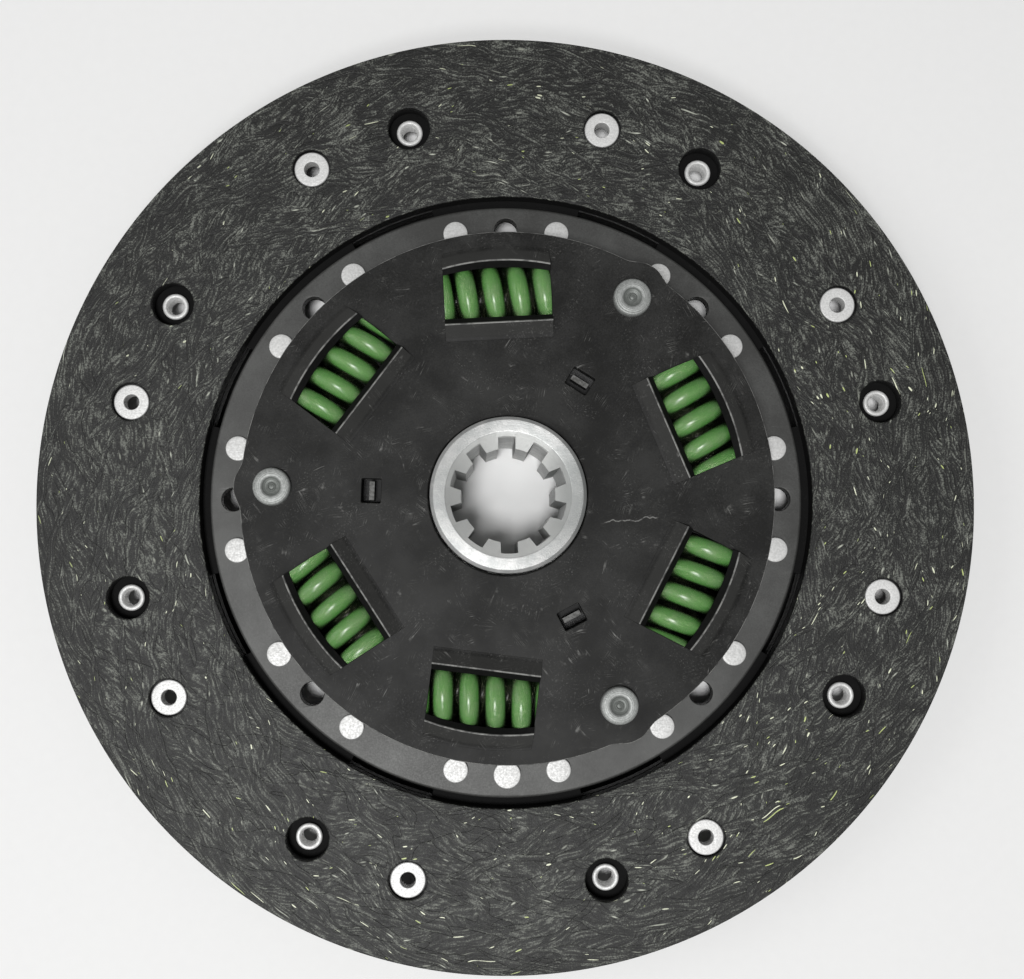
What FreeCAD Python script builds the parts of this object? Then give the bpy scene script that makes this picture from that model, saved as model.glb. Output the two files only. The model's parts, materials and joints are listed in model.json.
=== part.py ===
import FreeCAD, Part
import Sketcher
import math
import os

# Clutch disc of 240 mm with a sprung hub, gearbox side up, in millimetres and degrees.
# The origin is on the shaft axis, midway between the two friction facings. +Z points to the gearbox side.
# Clock angles run clockwise from +Y, as seen from the gearbox side.

DIMENSIONS = [
    # friction facings
    ("facing_outer_diameter", 240.0, "outer diameter of both facings"),
    ("facing_carrier_gap", 2.45, "radial gap between the carrier plate and the facings"),
    ("facing_thickness", 3.9, "thickness of one facing"),
    ("facing_edge_break", 0.35, "chamfer on the facing edges"),
    ("facing_rivet_offset", 0.35, "how far the facing rivets lie outside the middle of the facing"),
    ("facing_rivet_half_angle", 14.6, "angle of a facing rivet from its segment's centre line"),
    ("rivet_seat_depth", 1.9, "depth of the seat of a rivet head under the facing's surface"),
    ("rivet_seat_diameter", 9.8, "diameter of the seat of a rivet head"),
    ("tail_hole_diameter", 10.9, "hole that clears the rolled end of the other facing's rivet"),
    # hollow rivets of the facings
    ("facing_rivet_head_diameter", 9.0, "flat head of a hollow rivet"),
    ("facing_rivet_head_thickness", 0.9, "thickness of that head"),
    ("facing_rivet_shank_diameter", 4.8, "outer diameter of the hollow shank"),
    ("facing_rivet_hole_diameter", 3.9, "hole through the rivet"),
    ("facing_rivet_tail_diameter", 6.8, "rolled end"),
    ("facing_rivet_roll", 0.45, "rounding of the rolled end"),
    ("facing_rivet_tail_height", 1.2, "height of the rolled end"),
    # cushion segments between the facings
    ("segment_count", 8, "segments round the disc"),
    ("segment_thickness", 0.7, "sheet of a segment"),
    ("segment_wave_height", 0.3, "how far the wave moves the sheet each way"),
    ("segment_edge_margin", 2.0, "facing outside the edge of a segment"),
    ("segment_foot_half_angle", 14.2, "half the angle of the foot"),
    ("segment_foot_margin", 3.7, "foot inside the circle of segment rivets"),
    ("segment_neck_margin", 0.8, "from the facings' inner edge to where the foot begins to widen"),
    ("segment_shoulder_run", 4.3, "from there to where the paddle has its full width"),
    ("segment_side_gap", 2.6, "gap between two paddles"),
    ("segment_flat_half_width", 6.5, "half the flat round a facing rivet"),
    # rivets that hold the segments
    ("segment_rivet_edge_distance", 5.95, "segment rivets inside the carrier plate's edge"),
    ("segment_rivet_half_angle", 10.74, "angle of a segment rivet from the segment's centre line"),
    ("segment_rivet_shank_diameter", 4.4, "shank of a segment rivet"),
    ("segment_rivet_head_diameter", 6.3, "front head"),
    ("segment_rivet_head_height", 1.0, "height of the front head"),
    ("segment_rivet_closing_diameter", 7.0, "rear head"),
    ("segment_rivet_closing_height", 1.1, "height of the rear head"),
    ("rivet_head_break", 0.25, "rounding of a solid rivet's heads, as a chamfer"),
    ("balance_hole_diameter", 6.0, "hole between the two rivets of a segment"),
    ("balance_rivet_head_diameter", 6.9, "heads of the balance rivet"),
    ("balance_rivet_step_count", 4, "segments clockwise from the top to the one with the balance rivet"),
    # carrier plate and cover plate
    ("carrier_outer_radius", 75.95, "edge of the carrier plate, which the other radii follow"),
    ("plate_thickness", 3.0, "sheet of both plates"),
    ("plate_gap", 10.65, "distance between the two plates"),
    ("carrier_bush_wall", 1.75, "wall of the guide bush inside the carrier plate's bore"),
    ("carrier_edge_break", 0.7, "rounded upper edge of the carrier plate"),
    ("cover_edge_margin", 7.9, "cover plate outside the circle of stop pins"),
    ("cover_bore_clearance", 0.5, "room between the hub and the cover plate's bore"),
    ("lobe_margin", 9.6, "cover plate outside that circle at its lobes"),
    ("lobe_half_angle", 1.8, "half the angle of a lobe's full reach"),
    ("lobe_blend_angle", 3.8, "angle over which a lobe runs out"),
    # spring windows
    ("window_width", 26.7, "width of a window along the spring"),
    ("window_spacing_angle", 35.0, "angle between a stop pin and the windows beside it"),
    ("window_half_height", 7.7, "from the spring's axis to the edge of the inner and the outer lip"),
    ("lip_run", 4.0, "radial run of a lip"),
    ("lip_rise", 2.2, "how far a lip stands out of its plate"),
    ("lip_clearance", 0.15, "room between a lip and the coil, to which the lip is pressed"),
    # stop pins
    ("pin_count", 3, "stop pins, each with a spring window on both sides"),
    ("pin_clock_angle", 32.2, "clock angle of the first stop pin"),
    ("pin_circle_ratio", 0.7623, "circle of stop pins, against the carrier plate's radius"),
    ("pin_shank_diameter", 6.6, "ends that pass through the plates"),
    ("pin_shoulder_diameter", 9.2, "body between the plates"),
    ("pin_head_diameter", 9.3, "turned head at each end"),
    ("pin_head_height", 2.2, "height of a head"),
    ("pin_head_step", 0.45, "step of the turned rings on a head"),
    ("pin_dimple_diameter", 3.0, "centre dimple of a head"),
    # hub
    ("hub_outer_radius", 19.1, "outside of the hub's barrel"),
    ("hub_front_reach", 10.35, "barrel in front of the flange"),
    ("hub_rear_reach", 14.65, "barrel behind the flange"),
    ("hub_edge_break", 0.9, "chamfer at the barrel's ends"),
    ("flange_thickness", 6.0, "thickness of the hub's flange"),
    ("flange_edge_margin", 0.4, "flange inside the cover plate's edge"),
    ("flange_window_clearance", 0.45, "radial room round a spring in the flange"),
    ("spline_count", 10, "grooves of the spline"),
    ("spline_major_radius", 14.3, "bottom of the grooves"),
    ("spline_minor_radius", 11.55, "crown of the teeth"),
    ("spline_groove_width", 4.2, "width of a groove"),
    ("spline_turn_angle", 1.3, "turn of the spline from the centre line"),
    ("entry_cone_radius", 15.3, "mouth of the entry cone at each end of the spline"),
    ("entry_cone_depth", 3.2, "depth of that cone"),
    # damper springs
    ("spring_circle_ratio", 0.665, "circle of the springs' axes, against the carrier plate's radius"),
    ("spring_outer_diameter", 21.3, "outside of the coil"),
    ("spring_wire_diameter", 5.0, "wire"),
    ("spring_pitch", 6.45, "pitch of the coil"),
    ("spring_turn_count", 6, "turns before the ends are ground, an even number"),
    ("spring_end_clearance", 0.1, "room at each end in the window"),
    # turning range of the hub in the plates
    ("twist_limit_angle", 6.0, "how far the hub turns each way before it meets the stop pins"),
    ("stop_clearance", 0.25, "room left between pin and notch at that limit"),
    ("notch_floor_clearance", 0.8, "room under the pin in the notch"),
    # friction washers between flange and plates
    ("rear_friction_thickness", 2.0, "ring behind the flange"),
    ("rear_friction_margin", 14.5, "its edge inside the circle of the springs' axes"),
    ("rear_lug_diameter", 4.0, "lugs that key it to the carrier plate"),
    ("bush_flange_margin", 5.4, "flange of the guide bush outside the hub's barrel"),
    ("bush_clearance", 0.15, "running clearance of the hub in the guide bush"),
    ("bush_rear_reach", 0.8, "how far the bush stands out of the carrier plate"),
    ("front_friction_thickness", 0.8, "ring in front of the flange"),
    ("front_friction_margin", 4.0, "its edge inside the rear ring's edge"),
    ("washer_bore_clearance", 1.5, "room between the hub and the washers in front of the flange"),
    ("support_washer_thickness", 1.0, "washer whose tabs catch in the cover plate"),
    ("tab_circle_margin", 2.4, "circle of the tabs and the rear lugs inside the rear ring's edge"),
    ("tab_width", 4.6, "width of a tab"),
    ("tab_foot", 1.25, "radial depth of a tab at its foot"),
    ("tab_depth", 0.5, "how far a tab ends below the cover's surface"),
    ("slot_width", 6.0, "slot in the cover plate, across"),
    ("slot_height", 4.8, "slot in the cover plate, along the radius"),
    ("wave_spring_margin", 3.1, "edge of the wave spring inside the circle of the tabs"),
    ("wave_spring_thickness", 0.35, "its sheet"),
    ("wave_spring_clearance", 0.05, "room at the crests of its waves"),
    ("wave_count", 3, "waves round the wave spring"),
    # general fits
    ("lug_clearance", 0.1, "room round the rear lugs"),
    ("ring_clearance", 0.3, "room between the guide bush and the rear friction ring"),
    ("cut_overrun", 3.0, "how far a cut or a blank reaches past the edge that another cut makes"),
]

# Clockwise place of a coil's crown from the middle of its window, for each spring as it was fitted
SPRING_CROWNS = [
    ("spring_crown_1", -1.8),
    ("spring_crown_2", 0.9),
    ("spring_crown_3", 2.6),
    ("spring_crown_4", -3.0),
    ("spring_crown_5", 0.5),
    ("spring_crown_6", 2.1),
]

# Points through which the curve of the wave spring runs
POINTS_PER_WAVE = 8

doc = FreeCAD.newDocument("clutch_disc")
sheet = doc.addObject("Spreadsheet::Sheet", "Dims")


def fill_sheet():
    rows = DIMENSIONS + [(alias, value, "crown of a spring's coil") for alias, value in SPRING_CROWNS]
    for row, (alias, value, meaning) in enumerate(rows, start=1):
        sheet.set("A%d" % row, alias)
        sheet.set("B%d" % row, str(value))
        sheet.set("C%d" % row, meaning)
        sheet.setAlias("B%d" % row, alias)
    doc.recompute()


class Size:
    """A number together with the spreadsheet expression that gives it."""

    def __init__(self, value, text):
        self.value = float(value)
        self.text = text

    def __add__(self, other):
        other = as_size(other)
        return Size(self.value + other.value, "(%s + %s)" % (self.text, other.text))

    def __sub__(self, other):
        other = as_size(other)
        return Size(self.value - other.value, "(%s - %s)" % (self.text, other.text))

    def __mul__(self, other):
        other = as_size(other)
        return Size(self.value * other.value, "(%s * %s)" % (self.text, other.text))

    def __truediv__(self, other):
        other = as_size(other)
        return Size(self.value / other.value, "(%s / %s)" % (self.text, other.text))

    def __neg__(self):
        return Size(-self.value, "(0 - %s)" % self.text)


def as_size(number):
    return number if isinstance(number, Size) else Size(number, repr(number))


def dim(alias):
    return Size(sheet.get(alias), "Dims." + alias)


def sine(angle):
    return Size(math.sin(math.radians(angle.value)), "sin(%s)" % angle.text)


def cosine(angle):
    return Size(math.cos(math.radians(angle.value)), "cos(%s)" % angle.text)


def arcsine(ratio):
    return Size(math.degrees(math.asin(ratio.value)), "(asin(%s) / 1 deg)" % ratio.text)


def root(square):
    return Size(math.sqrt(square.value), "sqrt(%s)" % square.text)


def on_clock(radius, clock):
    """The point at a radius and a clock angle, as x and y."""
    return radius * sine(clock), radius * cosine(clock)


# Sketches and features

class Arc:
    """An edge of an outline that runs on a circle about the origin."""

    def __init__(self, radius):
        self.radius = radius


def new_body(label):
    body = doc.addObject("PartDesign::Body", label)
    body.Label = label
    return body


def new_sketch(body, name, plane, offset=None, turn=None):
    """A sketch on one of the body's own planes, moved along its normal and turned about the Z axis."""
    sketch = body.newObject("Sketcher::SketchObject", name)
    for datum in body.Origin.OriginFeatures:
        if datum.Role == plane:
            sketch.AttachmentSupport = (datum, [""])
    sketch.MapMode = "FlatFace"
    turning_axis = FreeCAD.Vector(0, 0, 1) if plane == "XY_Plane" else FreeCAD.Vector(0, 1, 0)
    shift = offset.value if offset else 0
    angle = turn.value if turn else 0
    sketch.AttachmentOffset = FreeCAD.Placement(
        FreeCAD.Vector(0, 0, shift), FreeCAD.Rotation(turning_axis, angle))
    if offset:
        sketch.setExpression("AttachmentOffset.Base.z", offset.text)
    if turn:
        sketch.setExpression("AttachmentOffset.Rotation.Angle", turn.text)
    return sketch


def bind(sketch, constraint, size):
    index = sketch.addConstraint(constraint)
    sketch.setExpression("Constraints[%d]" % index, size.text)


def fix_point(sketch, geometry, end, x, y):
    bind(sketch, Sketcher.Constraint("DistanceX", -1, 1, geometry, end, x.value), x)
    bind(sketch, Sketcher.Constraint("DistanceY", -1, 1, geometry, end, y.value), y)


def outline(sketch, corners):
    """A closed loop. Each corner is (x, y), or (x, y, Arc) where the edge to the next corner is an arc."""
    starts = []
    ends = []
    for number, corner in enumerate(corners):
        following = corners[(number + 1) % len(corners)]
        x0, y0 = corner[0].value, corner[1].value
        x1, y1 = following[0].value, following[1].value
        if len(corner) == 2:
            line = Part.LineSegment(FreeCAD.Vector(x0, y0, 0), FreeCAD.Vector(x1, y1, 0))
            geometry = sketch.addGeometry(line, False)
            starts.append((geometry, 1))
            ends.append((geometry, 2))
            continue
        radius = corner[2].radius
        circle = Part.Circle(FreeCAD.Vector(0, 0, 0), FreeCAD.Vector(0, 0, 1), radius.value)
        from_angle = math.atan2(y0, x0)
        to_angle = math.atan2(y1, x1)
        leftward = x0 * y1 - x1 * y0 > 0
        span = (from_angle, to_angle) if leftward else (to_angle, from_angle)
        geometry = sketch.addGeometry(Part.ArcOfCircle(circle, *span), False)
        bind(sketch, Sketcher.Constraint("Radius", geometry, radius.value), radius)
        starts.append((geometry, 1 if leftward else 2))
        ends.append((geometry, 2 if leftward else 1))
    for number, corner in enumerate(corners):
        geometry, end = starts[number]
        before, before_end = ends[number - 1]
        sketch.addConstraint(Sketcher.Constraint("Coincident", before, before_end, geometry, end))
        fix_point(sketch, geometry, end, corner[0], corner[1])


def hole(sketch, diameter, x=None, y=None):
    """A circle about the origin, or about a given point."""
    centre = FreeCAD.Vector(x.value, y.value, 0) if x else FreeCAD.Vector(0, 0, 0)
    circle = Part.Circle(centre, FreeCAD.Vector(0, 0, 1), diameter.value / 2)
    geometry = sketch.addGeometry(circle, False)
    bind(sketch, Sketcher.Constraint("Diameter", geometry, diameter.value), diameter)
    if x:
        fix_point(sketch, geometry, 3, x, y)
    else:
        sketch.addConstraint(Sketcher.Constraint("Coincident", geometry, 3, -1, 1))


def rectangle(sketch, left, right, bottom, top):
    outline(sketch, [(left, bottom), (right, bottom), (right, top), (left, top)])


def extrude(body, kind, sketch, length, both_ways=False, turned_round=False):
    feature = body.newObject("PartDesign::" + kind, sketch.Name + "_" + kind.lower())
    feature.Profile = sketch
    feature.Type = "Length"
    feature.setExpression("Length", length.text)
    feature.Length = length.value
    feature.Midplane = both_ways
    feature.Reversed = turned_round
    doc.recompute()
    return feature


def revolve(body, kind, sketch, axis="V_Axis", angle=None):
    """A revolution or groove about the sketch's own upright axis."""
    feature = body.newObject("PartDesign::" + kind, sketch.Name + "_" + kind.lower())
    feature.Profile = sketch
    feature.ReferenceAxis = (sketch, [axis])
    feature.Angle = 360
    if angle:
        feature.Midplane = True
        feature.Angle = angle.value
        feature.setExpression("Angle", angle.text)
    doc.recompute()
    return feature


def repeat(body, features, count):
    """Copies of the features round the Z axis, evenly spaced."""
    pattern = body.newObject("PartDesign::PolarPattern", features[0].Name + "_ring")
    pattern.Originals = features
    for datum in body.Origin.OriginFeatures:
        if datum.Role == "Z_Axis":
            pattern.Axis = (datum, [""])
    pattern.Angle = 360
    pattern.Occurrences = int(round(count.value))
    pattern.setExpression("Occurrences", count.text)
    body.Tip = pattern
    doc.recompute()
    return pattern


def turn_to(body, clock):
    """Turn a finished piece from the top to a clock angle."""
    body.Placement = FreeCAD.Placement(
        FreeCAD.Vector(0, 0, 0), FreeCAD.Rotation(FreeCAD.Vector(0, 0, -1), clock.value))
    body.setExpression("Placement.Rotation.Angle", clock.text)


fill_sheet()

# Heights above the middle of the disc

half_gap = dim("segment_thickness") / 2 + dim("segment_wave_height")
facing_face = half_gap + dim("facing_thickness")
carrier_rear = dim("segment_thickness") / 2
carrier_front = carrier_rear + dim("plate_thickness")
cover_rear = carrier_front + dim("plate_gap")
cover_front = cover_rear + dim("plate_thickness")
spring_height = (carrier_front + cover_rear) / 2
flange_rear = carrier_front + dim("rear_friction_thickness")
flange_front = flange_rear + dim("flange_thickness")
hub_face = flange_front + dim("hub_front_reach")
hub_rear = flange_rear - dim("hub_rear_reach")
washer_rear = flange_front + dim("front_friction_thickness")
washer_front = washer_rear + dim("support_washer_thickness")
tab_end = cover_front - dim("tab_depth")

# Radii, from the carrier plate's edge outward and then inward

carrier_outer = dim("carrier_outer_radius")
facing_outer = dim("facing_outer_diameter") / 2
facing_inner = carrier_outer + dim("facing_carrier_gap")
facing_rivet_circle = (facing_inner + facing_outer) / 2 + dim("facing_rivet_offset")
segment_outer = facing_outer - dim("segment_edge_margin")
segment_neck = facing_inner + dim("segment_neck_margin")
segment_shoulder = segment_neck + dim("segment_shoulder_run")
segment_rivet_circle = carrier_outer - dim("segment_rivet_edge_distance")
segment_foot = segment_rivet_circle - dim("segment_foot_margin")
pin_circle = carrier_outer * dim("pin_circle_ratio")
cover_outer = pin_circle + dim("cover_edge_margin")
lobe_outer = pin_circle + dim("lobe_margin")
flange_outer = cover_outer - dim("flange_edge_margin")
spring_circle = carrier_outer * dim("spring_circle_ratio")
window_inner = spring_circle - dim("window_half_height")
window_outer = spring_circle + dim("window_half_height")
rear_ring_outer = spring_circle - dim("rear_friction_margin")
front_ring_outer = rear_ring_outer - dim("front_friction_margin")
tab_circle = rear_ring_outer - dim("tab_circle_margin")
wave_spring_outer = tab_circle - dim("wave_spring_margin")
washer_bore = dim("hub_outer_radius") + dim("washer_bore_clearance")
cover_bore = dim("hub_outer_radius") + dim("cover_bore_clearance")
bush_bore = dim("hub_outer_radius") + dim("bush_clearance")
bush_flange = dim("hub_outer_radius") + dim("bush_flange_margin")
carrier_bore = bush_bore + dim("carrier_bush_wall")

# Values that several pieces share

through = (hub_face - hub_rear) * 2
nothing = Size(0, "0")
eighth_turn = Size(45, "45")
quarter_back = Size(-90, "(0 - 90)")
pin_clock = dim("pin_clock_angle")
first_window = pin_clock - dim("window_spacing_angle")
second_window = pin_clock + dim("window_spacing_angle")
window_half = dim("window_width") / 2
segment_step = Size(360, "360") / dim("segment_count")
pin_step = Size(360, "360") / dim("pin_count")
coil_outer = dim("spring_outer_diameter") / 2
coil_radius = (dim("spring_outer_diameter") - dim("spring_wire_diameter")) / 2


def window_outline(sketch, inner_edge, outer_edge):
    """A spring window: parallel sides, a straight inner edge and an outer edge on a circle."""
    corner_height = root(outer_edge * outer_edge - window_half * window_half)
    outline(sketch, [
        (-window_half, inner_edge),
        (window_half, inner_edge),
        (window_half, corner_height, Arc(outer_edge)),
        (-window_half, corner_height),
    ])


def facing(label, side):
    """A friction ring with seats for its own rivets and clearance holes for the other ring's rivets."""
    body = new_body(label)
    edge = dim("facing_edge_break")
    low = half_gap * side
    high = facing_face * side
    ring = new_sketch(body, label + "_ring", "XZ_Plane")
    outline(ring, [
        (facing_inner, low),
        (facing_outer, low),
        (facing_outer, high - edge * side),
        (facing_outer - edge, high),
        (facing_inner + edge, high),
        (facing_inner, high - edge * side),
    ])
    revolve(body, "Revolution", ring)
    own = dim("facing_rivet_half_angle") * side
    other = -own
    x, y = on_clock(facing_rivet_circle, own)
    bore = new_sketch(body, label + "_rivet_bore", "XY_Plane")
    hole(bore, dim("facing_rivet_shank_diameter"), x, y)
    seat = new_sketch(body, label + "_rivet_seat", "XY_Plane", offset=high)
    hole(seat, dim("rivet_seat_diameter"), x, y)
    x, y = on_clock(facing_rivet_circle, other)
    clearance = new_sketch(body, label + "_tail_hole", "XY_Plane")
    hole(clearance, dim("tail_hole_diameter"), x, y)
    cuts = [
        extrude(body, "Pocket", bore, through, both_ways=True),
        extrude(body, "Pocket", seat, dim("rivet_seat_depth"), turned_round=side < 0),
        extrude(body, "Pocket", clearance, through, both_ways=True),
    ]
    repeat(body, cuts, dim("segment_count"))
    return body


def facing_rivets(label, side):
    """The hollow rivets of one facing: flat head in the seat, shank, and an end rolled over the segment."""
    body = new_body(label)
    centre = facing_rivet_circle
    hole_radius = dim("facing_rivet_hole_diameter") / 2
    shank_radius = dim("facing_rivet_shank_diameter") / 2
    head_radius = dim("facing_rivet_head_diameter") / 2
    tail_radius = dim("facing_rivet_tail_diameter") / 2
    tail_height = dim("facing_rivet_tail_height")
    seat = facing_face - dim("rivet_seat_depth")
    head_top = seat + dim("facing_rivet_head_thickness")
    segment_back = dim("segment_wave_height") - dim("segment_thickness") / 2
    tail_mid = segment_back - tail_height / 2
    tail_end = segment_back - tail_height
    roll = dim("facing_rivet_roll")
    clock = quarter_back + dim("facing_rivet_half_angle") * side
    section = new_sketch(body, label + "_section", "XZ_Plane", turn=-clock)
    outline(section, [
        (centre + hole_radius, head_top * side),
        (centre + head_radius, head_top * side),
        (centre + head_radius, seat * side),
        (centre + shank_radius, seat * side),
        (centre + shank_radius, segment_back * side),
        (centre + tail_radius - roll, segment_back * side),
        (centre + tail_radius, tail_mid * side),
        (centre + tail_radius - roll, tail_end * side),
        (centre + hole_radius + roll, tail_end * side),
        (centre + hole_radius, tail_mid * side),
    ])
    axis_line = Part.LineSegment(
        FreeCAD.Vector(centre.value, 0, 0), FreeCAD.Vector(centre.value, facing_face.value, 0))
    axis = section.addGeometry(axis_line, True)
    fix_point(section, axis, 1, centre, nothing)
    fix_point(section, axis, 2, centre, facing_face)
    rivet = revolve(body, "Revolution", section, axis="Axis0")
    repeat(body, [rivet], dim("segment_count"))
    return body


def cushion_segment(label, clock):
    """A spring sheet segment: a flat foot, and a paddle pressed into waves that meet both facings."""
    body = new_body(label)
    thickness = dim("segment_thickness")
    wave = dim("segment_wave_height")
    half_sheet = thickness / 2
    rivet_across = facing_rivet_circle * sine(dim("facing_rivet_half_angle"))
    flat = dim("segment_flat_half_width")
    blank_half = segment_outer * sine(segment_step / 2)
    wave_line = [
        (-blank_half, nothing),
        (-rivet_across - flat, -wave),
        (-rivet_across + flat, -wave),
        (rivet_across - flat, wave),
        (rivet_across + flat, wave),
        (blank_half, nothing),
    ]
    above = [(x, z + half_sheet) for x, z in wave_line]
    below = [(x, z - half_sheet) for x, z in reversed(wave_line)]
    waves = new_sketch(body, label + "_waves", "XZ_Plane", offset=-segment_neck)
    outline(waves, above + below)
    extrude(body, "Pad", waves, segment_outer - segment_neck, turned_round=True)
    foot = new_sketch(body, label + "_foot", "XY_Plane")
    foot_half = segment_shoulder * sine(dim("segment_foot_half_angle"))
    rectangle(foot, -foot_half, foot_half, segment_foot - dim("cut_overrun"), segment_shoulder)
    extrude(body, "Pad", foot, thickness, both_ways=True)

    foot_angle = dim("segment_foot_half_angle")
    half_side_gap = dim("segment_side_gap") / 2
    shoulder_angle = segment_step / 2 - arcsine(half_side_gap / segment_shoulder)
    tip_angle = segment_step / 2 - arcsine(half_side_gap / segment_outer)
    foot_x, foot_y = on_clock(segment_foot, foot_angle)
    neck_x, neck_y = on_clock(segment_neck, foot_angle)
    shoulder_x, shoulder_y = on_clock(segment_shoulder, shoulder_angle)
    tip_x, tip_y = on_clock(segment_outer, tip_angle)
    trim = new_sketch(body, label + "_trim", "XY_Plane")
    hole(trim, (segment_outer + through) * 2)
    outline(trim, [
        (foot_x, foot_y, Arc(segment_foot)),
        (-foot_x, foot_y),
        (-neck_x, neck_y),
        (-shoulder_x, shoulder_y),
        (-tip_x, tip_y, Arc(segment_outer)),
        (tip_x, tip_y),
        (shoulder_x, shoulder_y),
        (neck_x, neck_y),
    ])
    extrude(body, "Pocket", trim, through, both_ways=True)
    holes = new_sketch(body, label + "_holes", "XY_Plane")
    for side in (1, -1):
        x, y = on_clock(facing_rivet_circle, dim("facing_rivet_half_angle") * side)
        hole(holes, dim("facing_rivet_shank_diameter"), x, y)
        x, y = on_clock(segment_rivet_circle, dim("segment_rivet_half_angle") * side)
        hole(holes, dim("segment_rivet_shank_diameter"), x, y)
    hole(holes, dim("balance_hole_diameter"), nothing, segment_rivet_circle)
    extrude(body, "Pocket", holes, through, both_ways=True)
    turn_to(body, clock)
    return body


def solid_rivet(body, name, head_diameter, shank_diameter, closing_diameter, clock):
    """A solid rivet through the carrier plate and a segment's foot, with both heads formed."""
    centre = segment_rivet_circle
    edge = dim("rivet_head_break")
    head_radius = head_diameter / 2
    closing_radius = closing_diameter / 2
    shank_radius = shank_diameter / 2
    head_top = carrier_front + dim("segment_rivet_head_height")
    foot_rear = -dim("segment_thickness") / 2
    closing_end = foot_rear - dim("segment_rivet_closing_height")
    section = new_sketch(body, name, "XZ_Plane", turn=-clock)
    outline(section, [
        (centre, head_top),
        (centre + head_radius - edge, head_top),
        (centre + head_radius, head_top - edge),
        (centre + head_radius, carrier_front),
        (centre + shank_radius, carrier_front),
        (centre + shank_radius, foot_rear),
        (centre + closing_radius, foot_rear),
        (centre + closing_radius, closing_end + edge),
        (centre + closing_radius - edge, closing_end),
        (centre, closing_end),
    ])
    axis_line = Part.LineSegment(
        FreeCAD.Vector(centre.value, 0, 0), FreeCAD.Vector(centre.value, head_top.value, 0))
    axis = section.addGeometry(axis_line, True)
    fix_point(section, axis, 1, centre, nothing)
    fix_point(section, axis, 2, centre, head_top)
    return revolve(body, "Revolution", section, axis="Axis0")


def segment_rivets(label):
    body = new_body(label)
    rivets = []
    for name, side in (("clockwise", 1), ("anticlockwise", -1)):
        rivets.append(solid_rivet(
            body, label + "_" + name,
            dim("segment_rivet_head_diameter"), dim("segment_rivet_shank_diameter"),
            dim("segment_rivet_closing_diameter"), quarter_back + dim("segment_rivet_half_angle") * side))
    repeat(body, rivets, dim("segment_count"))
    return body


def balance_rivet(label):
    """One rivet in a balance hole, where the disc needed weight."""
    body = new_body(label)
    solid_rivet(
        body, label + "_section", dim("balance_rivet_head_diameter"),
        dim("balance_hole_diameter"), dim("balance_rivet_head_diameter"),
        quarter_back + segment_step * dim("balance_rivet_step_count"))
    return body


def window_and_lips(body, name, clock, plate_inside, plate_outside, side):
    """A spring window in a plate. The sheet at its inner and outer edge is pressed out as a lip with a
    square-cut end, and both lips are pressed to the round of the coil."""
    run = dim("lip_run")
    rise = dim("lip_rise") * side
    slant = run * run + dim("lip_rise") * dim("lip_rise")
    end_reach = dim("plate_thickness") * run * dim("lip_rise") / slant
    end_depth = dim("plate_thickness") * run * run * side / slant
    opening = new_sketch(body, name + "_opening", "XY_Plane", turn=-clock)
    window_outline(opening, window_inner - run, window_outer + run)
    inner_lip = new_sketch(body, name + "_inner_lip", "YZ_Plane", turn=-clock)
    outline(inner_lip, [
        (window_inner - run, plate_inside),
        (window_inner + end_reach, plate_outside + rise - end_depth),
        (window_inner, plate_outside + rise),
        (window_inner - run, plate_outside),
    ])
    outer_lip = new_sketch(body, name + "_outer_lip", "YZ_Plane", turn=-clock)
    outline(outer_lip, [
        (window_outer - end_reach, plate_outside + rise - end_depth),
        (window_outer + run, plate_inside),
        (window_outer + run, plate_outside),
        (window_outer, plate_outside + rise),
    ])
    coil_room = new_sketch(body, name + "_coil_room", "YZ_Plane", turn=-clock)
    hole(coil_room, (coil_outer + dim("lip_clearance")) * 2, spring_circle, spring_height)
    return [
        extrude(body, "Pocket", opening, through, both_ways=True),
        extrude(body, "Pad", inner_lip, dim("window_width"), both_ways=True),
        revolve(body, "Revolution", outer_lip, angle=arcsine(window_half / window_outer) * 2),
        extrude(body, "Pocket", coil_room, dim("window_width"), both_ways=True),
    ]


def pin_holes(body, name):
    x, y = on_clock(pin_circle, pin_clock)
    pins = new_sketch(body, name + "_pin_hole", "XY_Plane")
    hole(pins, dim("pin_shank_diameter"), x, y)
    return extrude(body, "Pocket", pins, through, both_ways=True)


def carrier_plate(label):
    """The rear plate. It carries the segments at its edge and has the rear spring windows."""
    body = new_body(label)
    edge = dim("carrier_edge_break")
    corner = edge - edge * cosine(eighth_turn)
    section = new_sketch(body, label + "_section", "XZ_Plane")
    outline(section, [
        (carrier_bore, carrier_rear),
        (carrier_outer, carrier_rear),
        (carrier_outer, carrier_front - edge),
        (carrier_outer - corner, carrier_front - corner),
        (carrier_outer - edge, carrier_front),
        (carrier_bore, carrier_front),
    ])
    revolve(body, "Revolution", section)
    cuts = [pin_holes(body, label)]
    cuts += window_and_lips(body, label + "_first", first_window, carrier_front, carrier_rear, -1)
    cuts += window_and_lips(body, label + "_second", second_window, carrier_front, carrier_rear, -1)
    lug_x, lug_y = on_clock(tab_circle, pin_clock)
    lugs = new_sketch(body, label + "_lug_hole", "XY_Plane")
    hole(lugs, dim("rear_lug_diameter") + dim("lug_clearance") * 2, lug_x, lug_y)
    cuts.append(extrude(body, "Pocket", lugs, through, both_ways=True))
    repeat(body, cuts, dim("pin_count"))
    rivets = new_sketch(body, label + "_rivet_holes", "XY_Plane")
    for side in (1, -1):
        x, y = on_clock(segment_rivet_circle, dim("segment_rivet_half_angle") * side)
        hole(rivets, dim("segment_rivet_shank_diameter"), x, y)
    hole(rivets, dim("balance_hole_diameter"), nothing, segment_rivet_circle)
    repeat(body, [extrude(body, "Pocket", rivets, through, both_ways=True)], dim("segment_count"))
    return body


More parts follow.
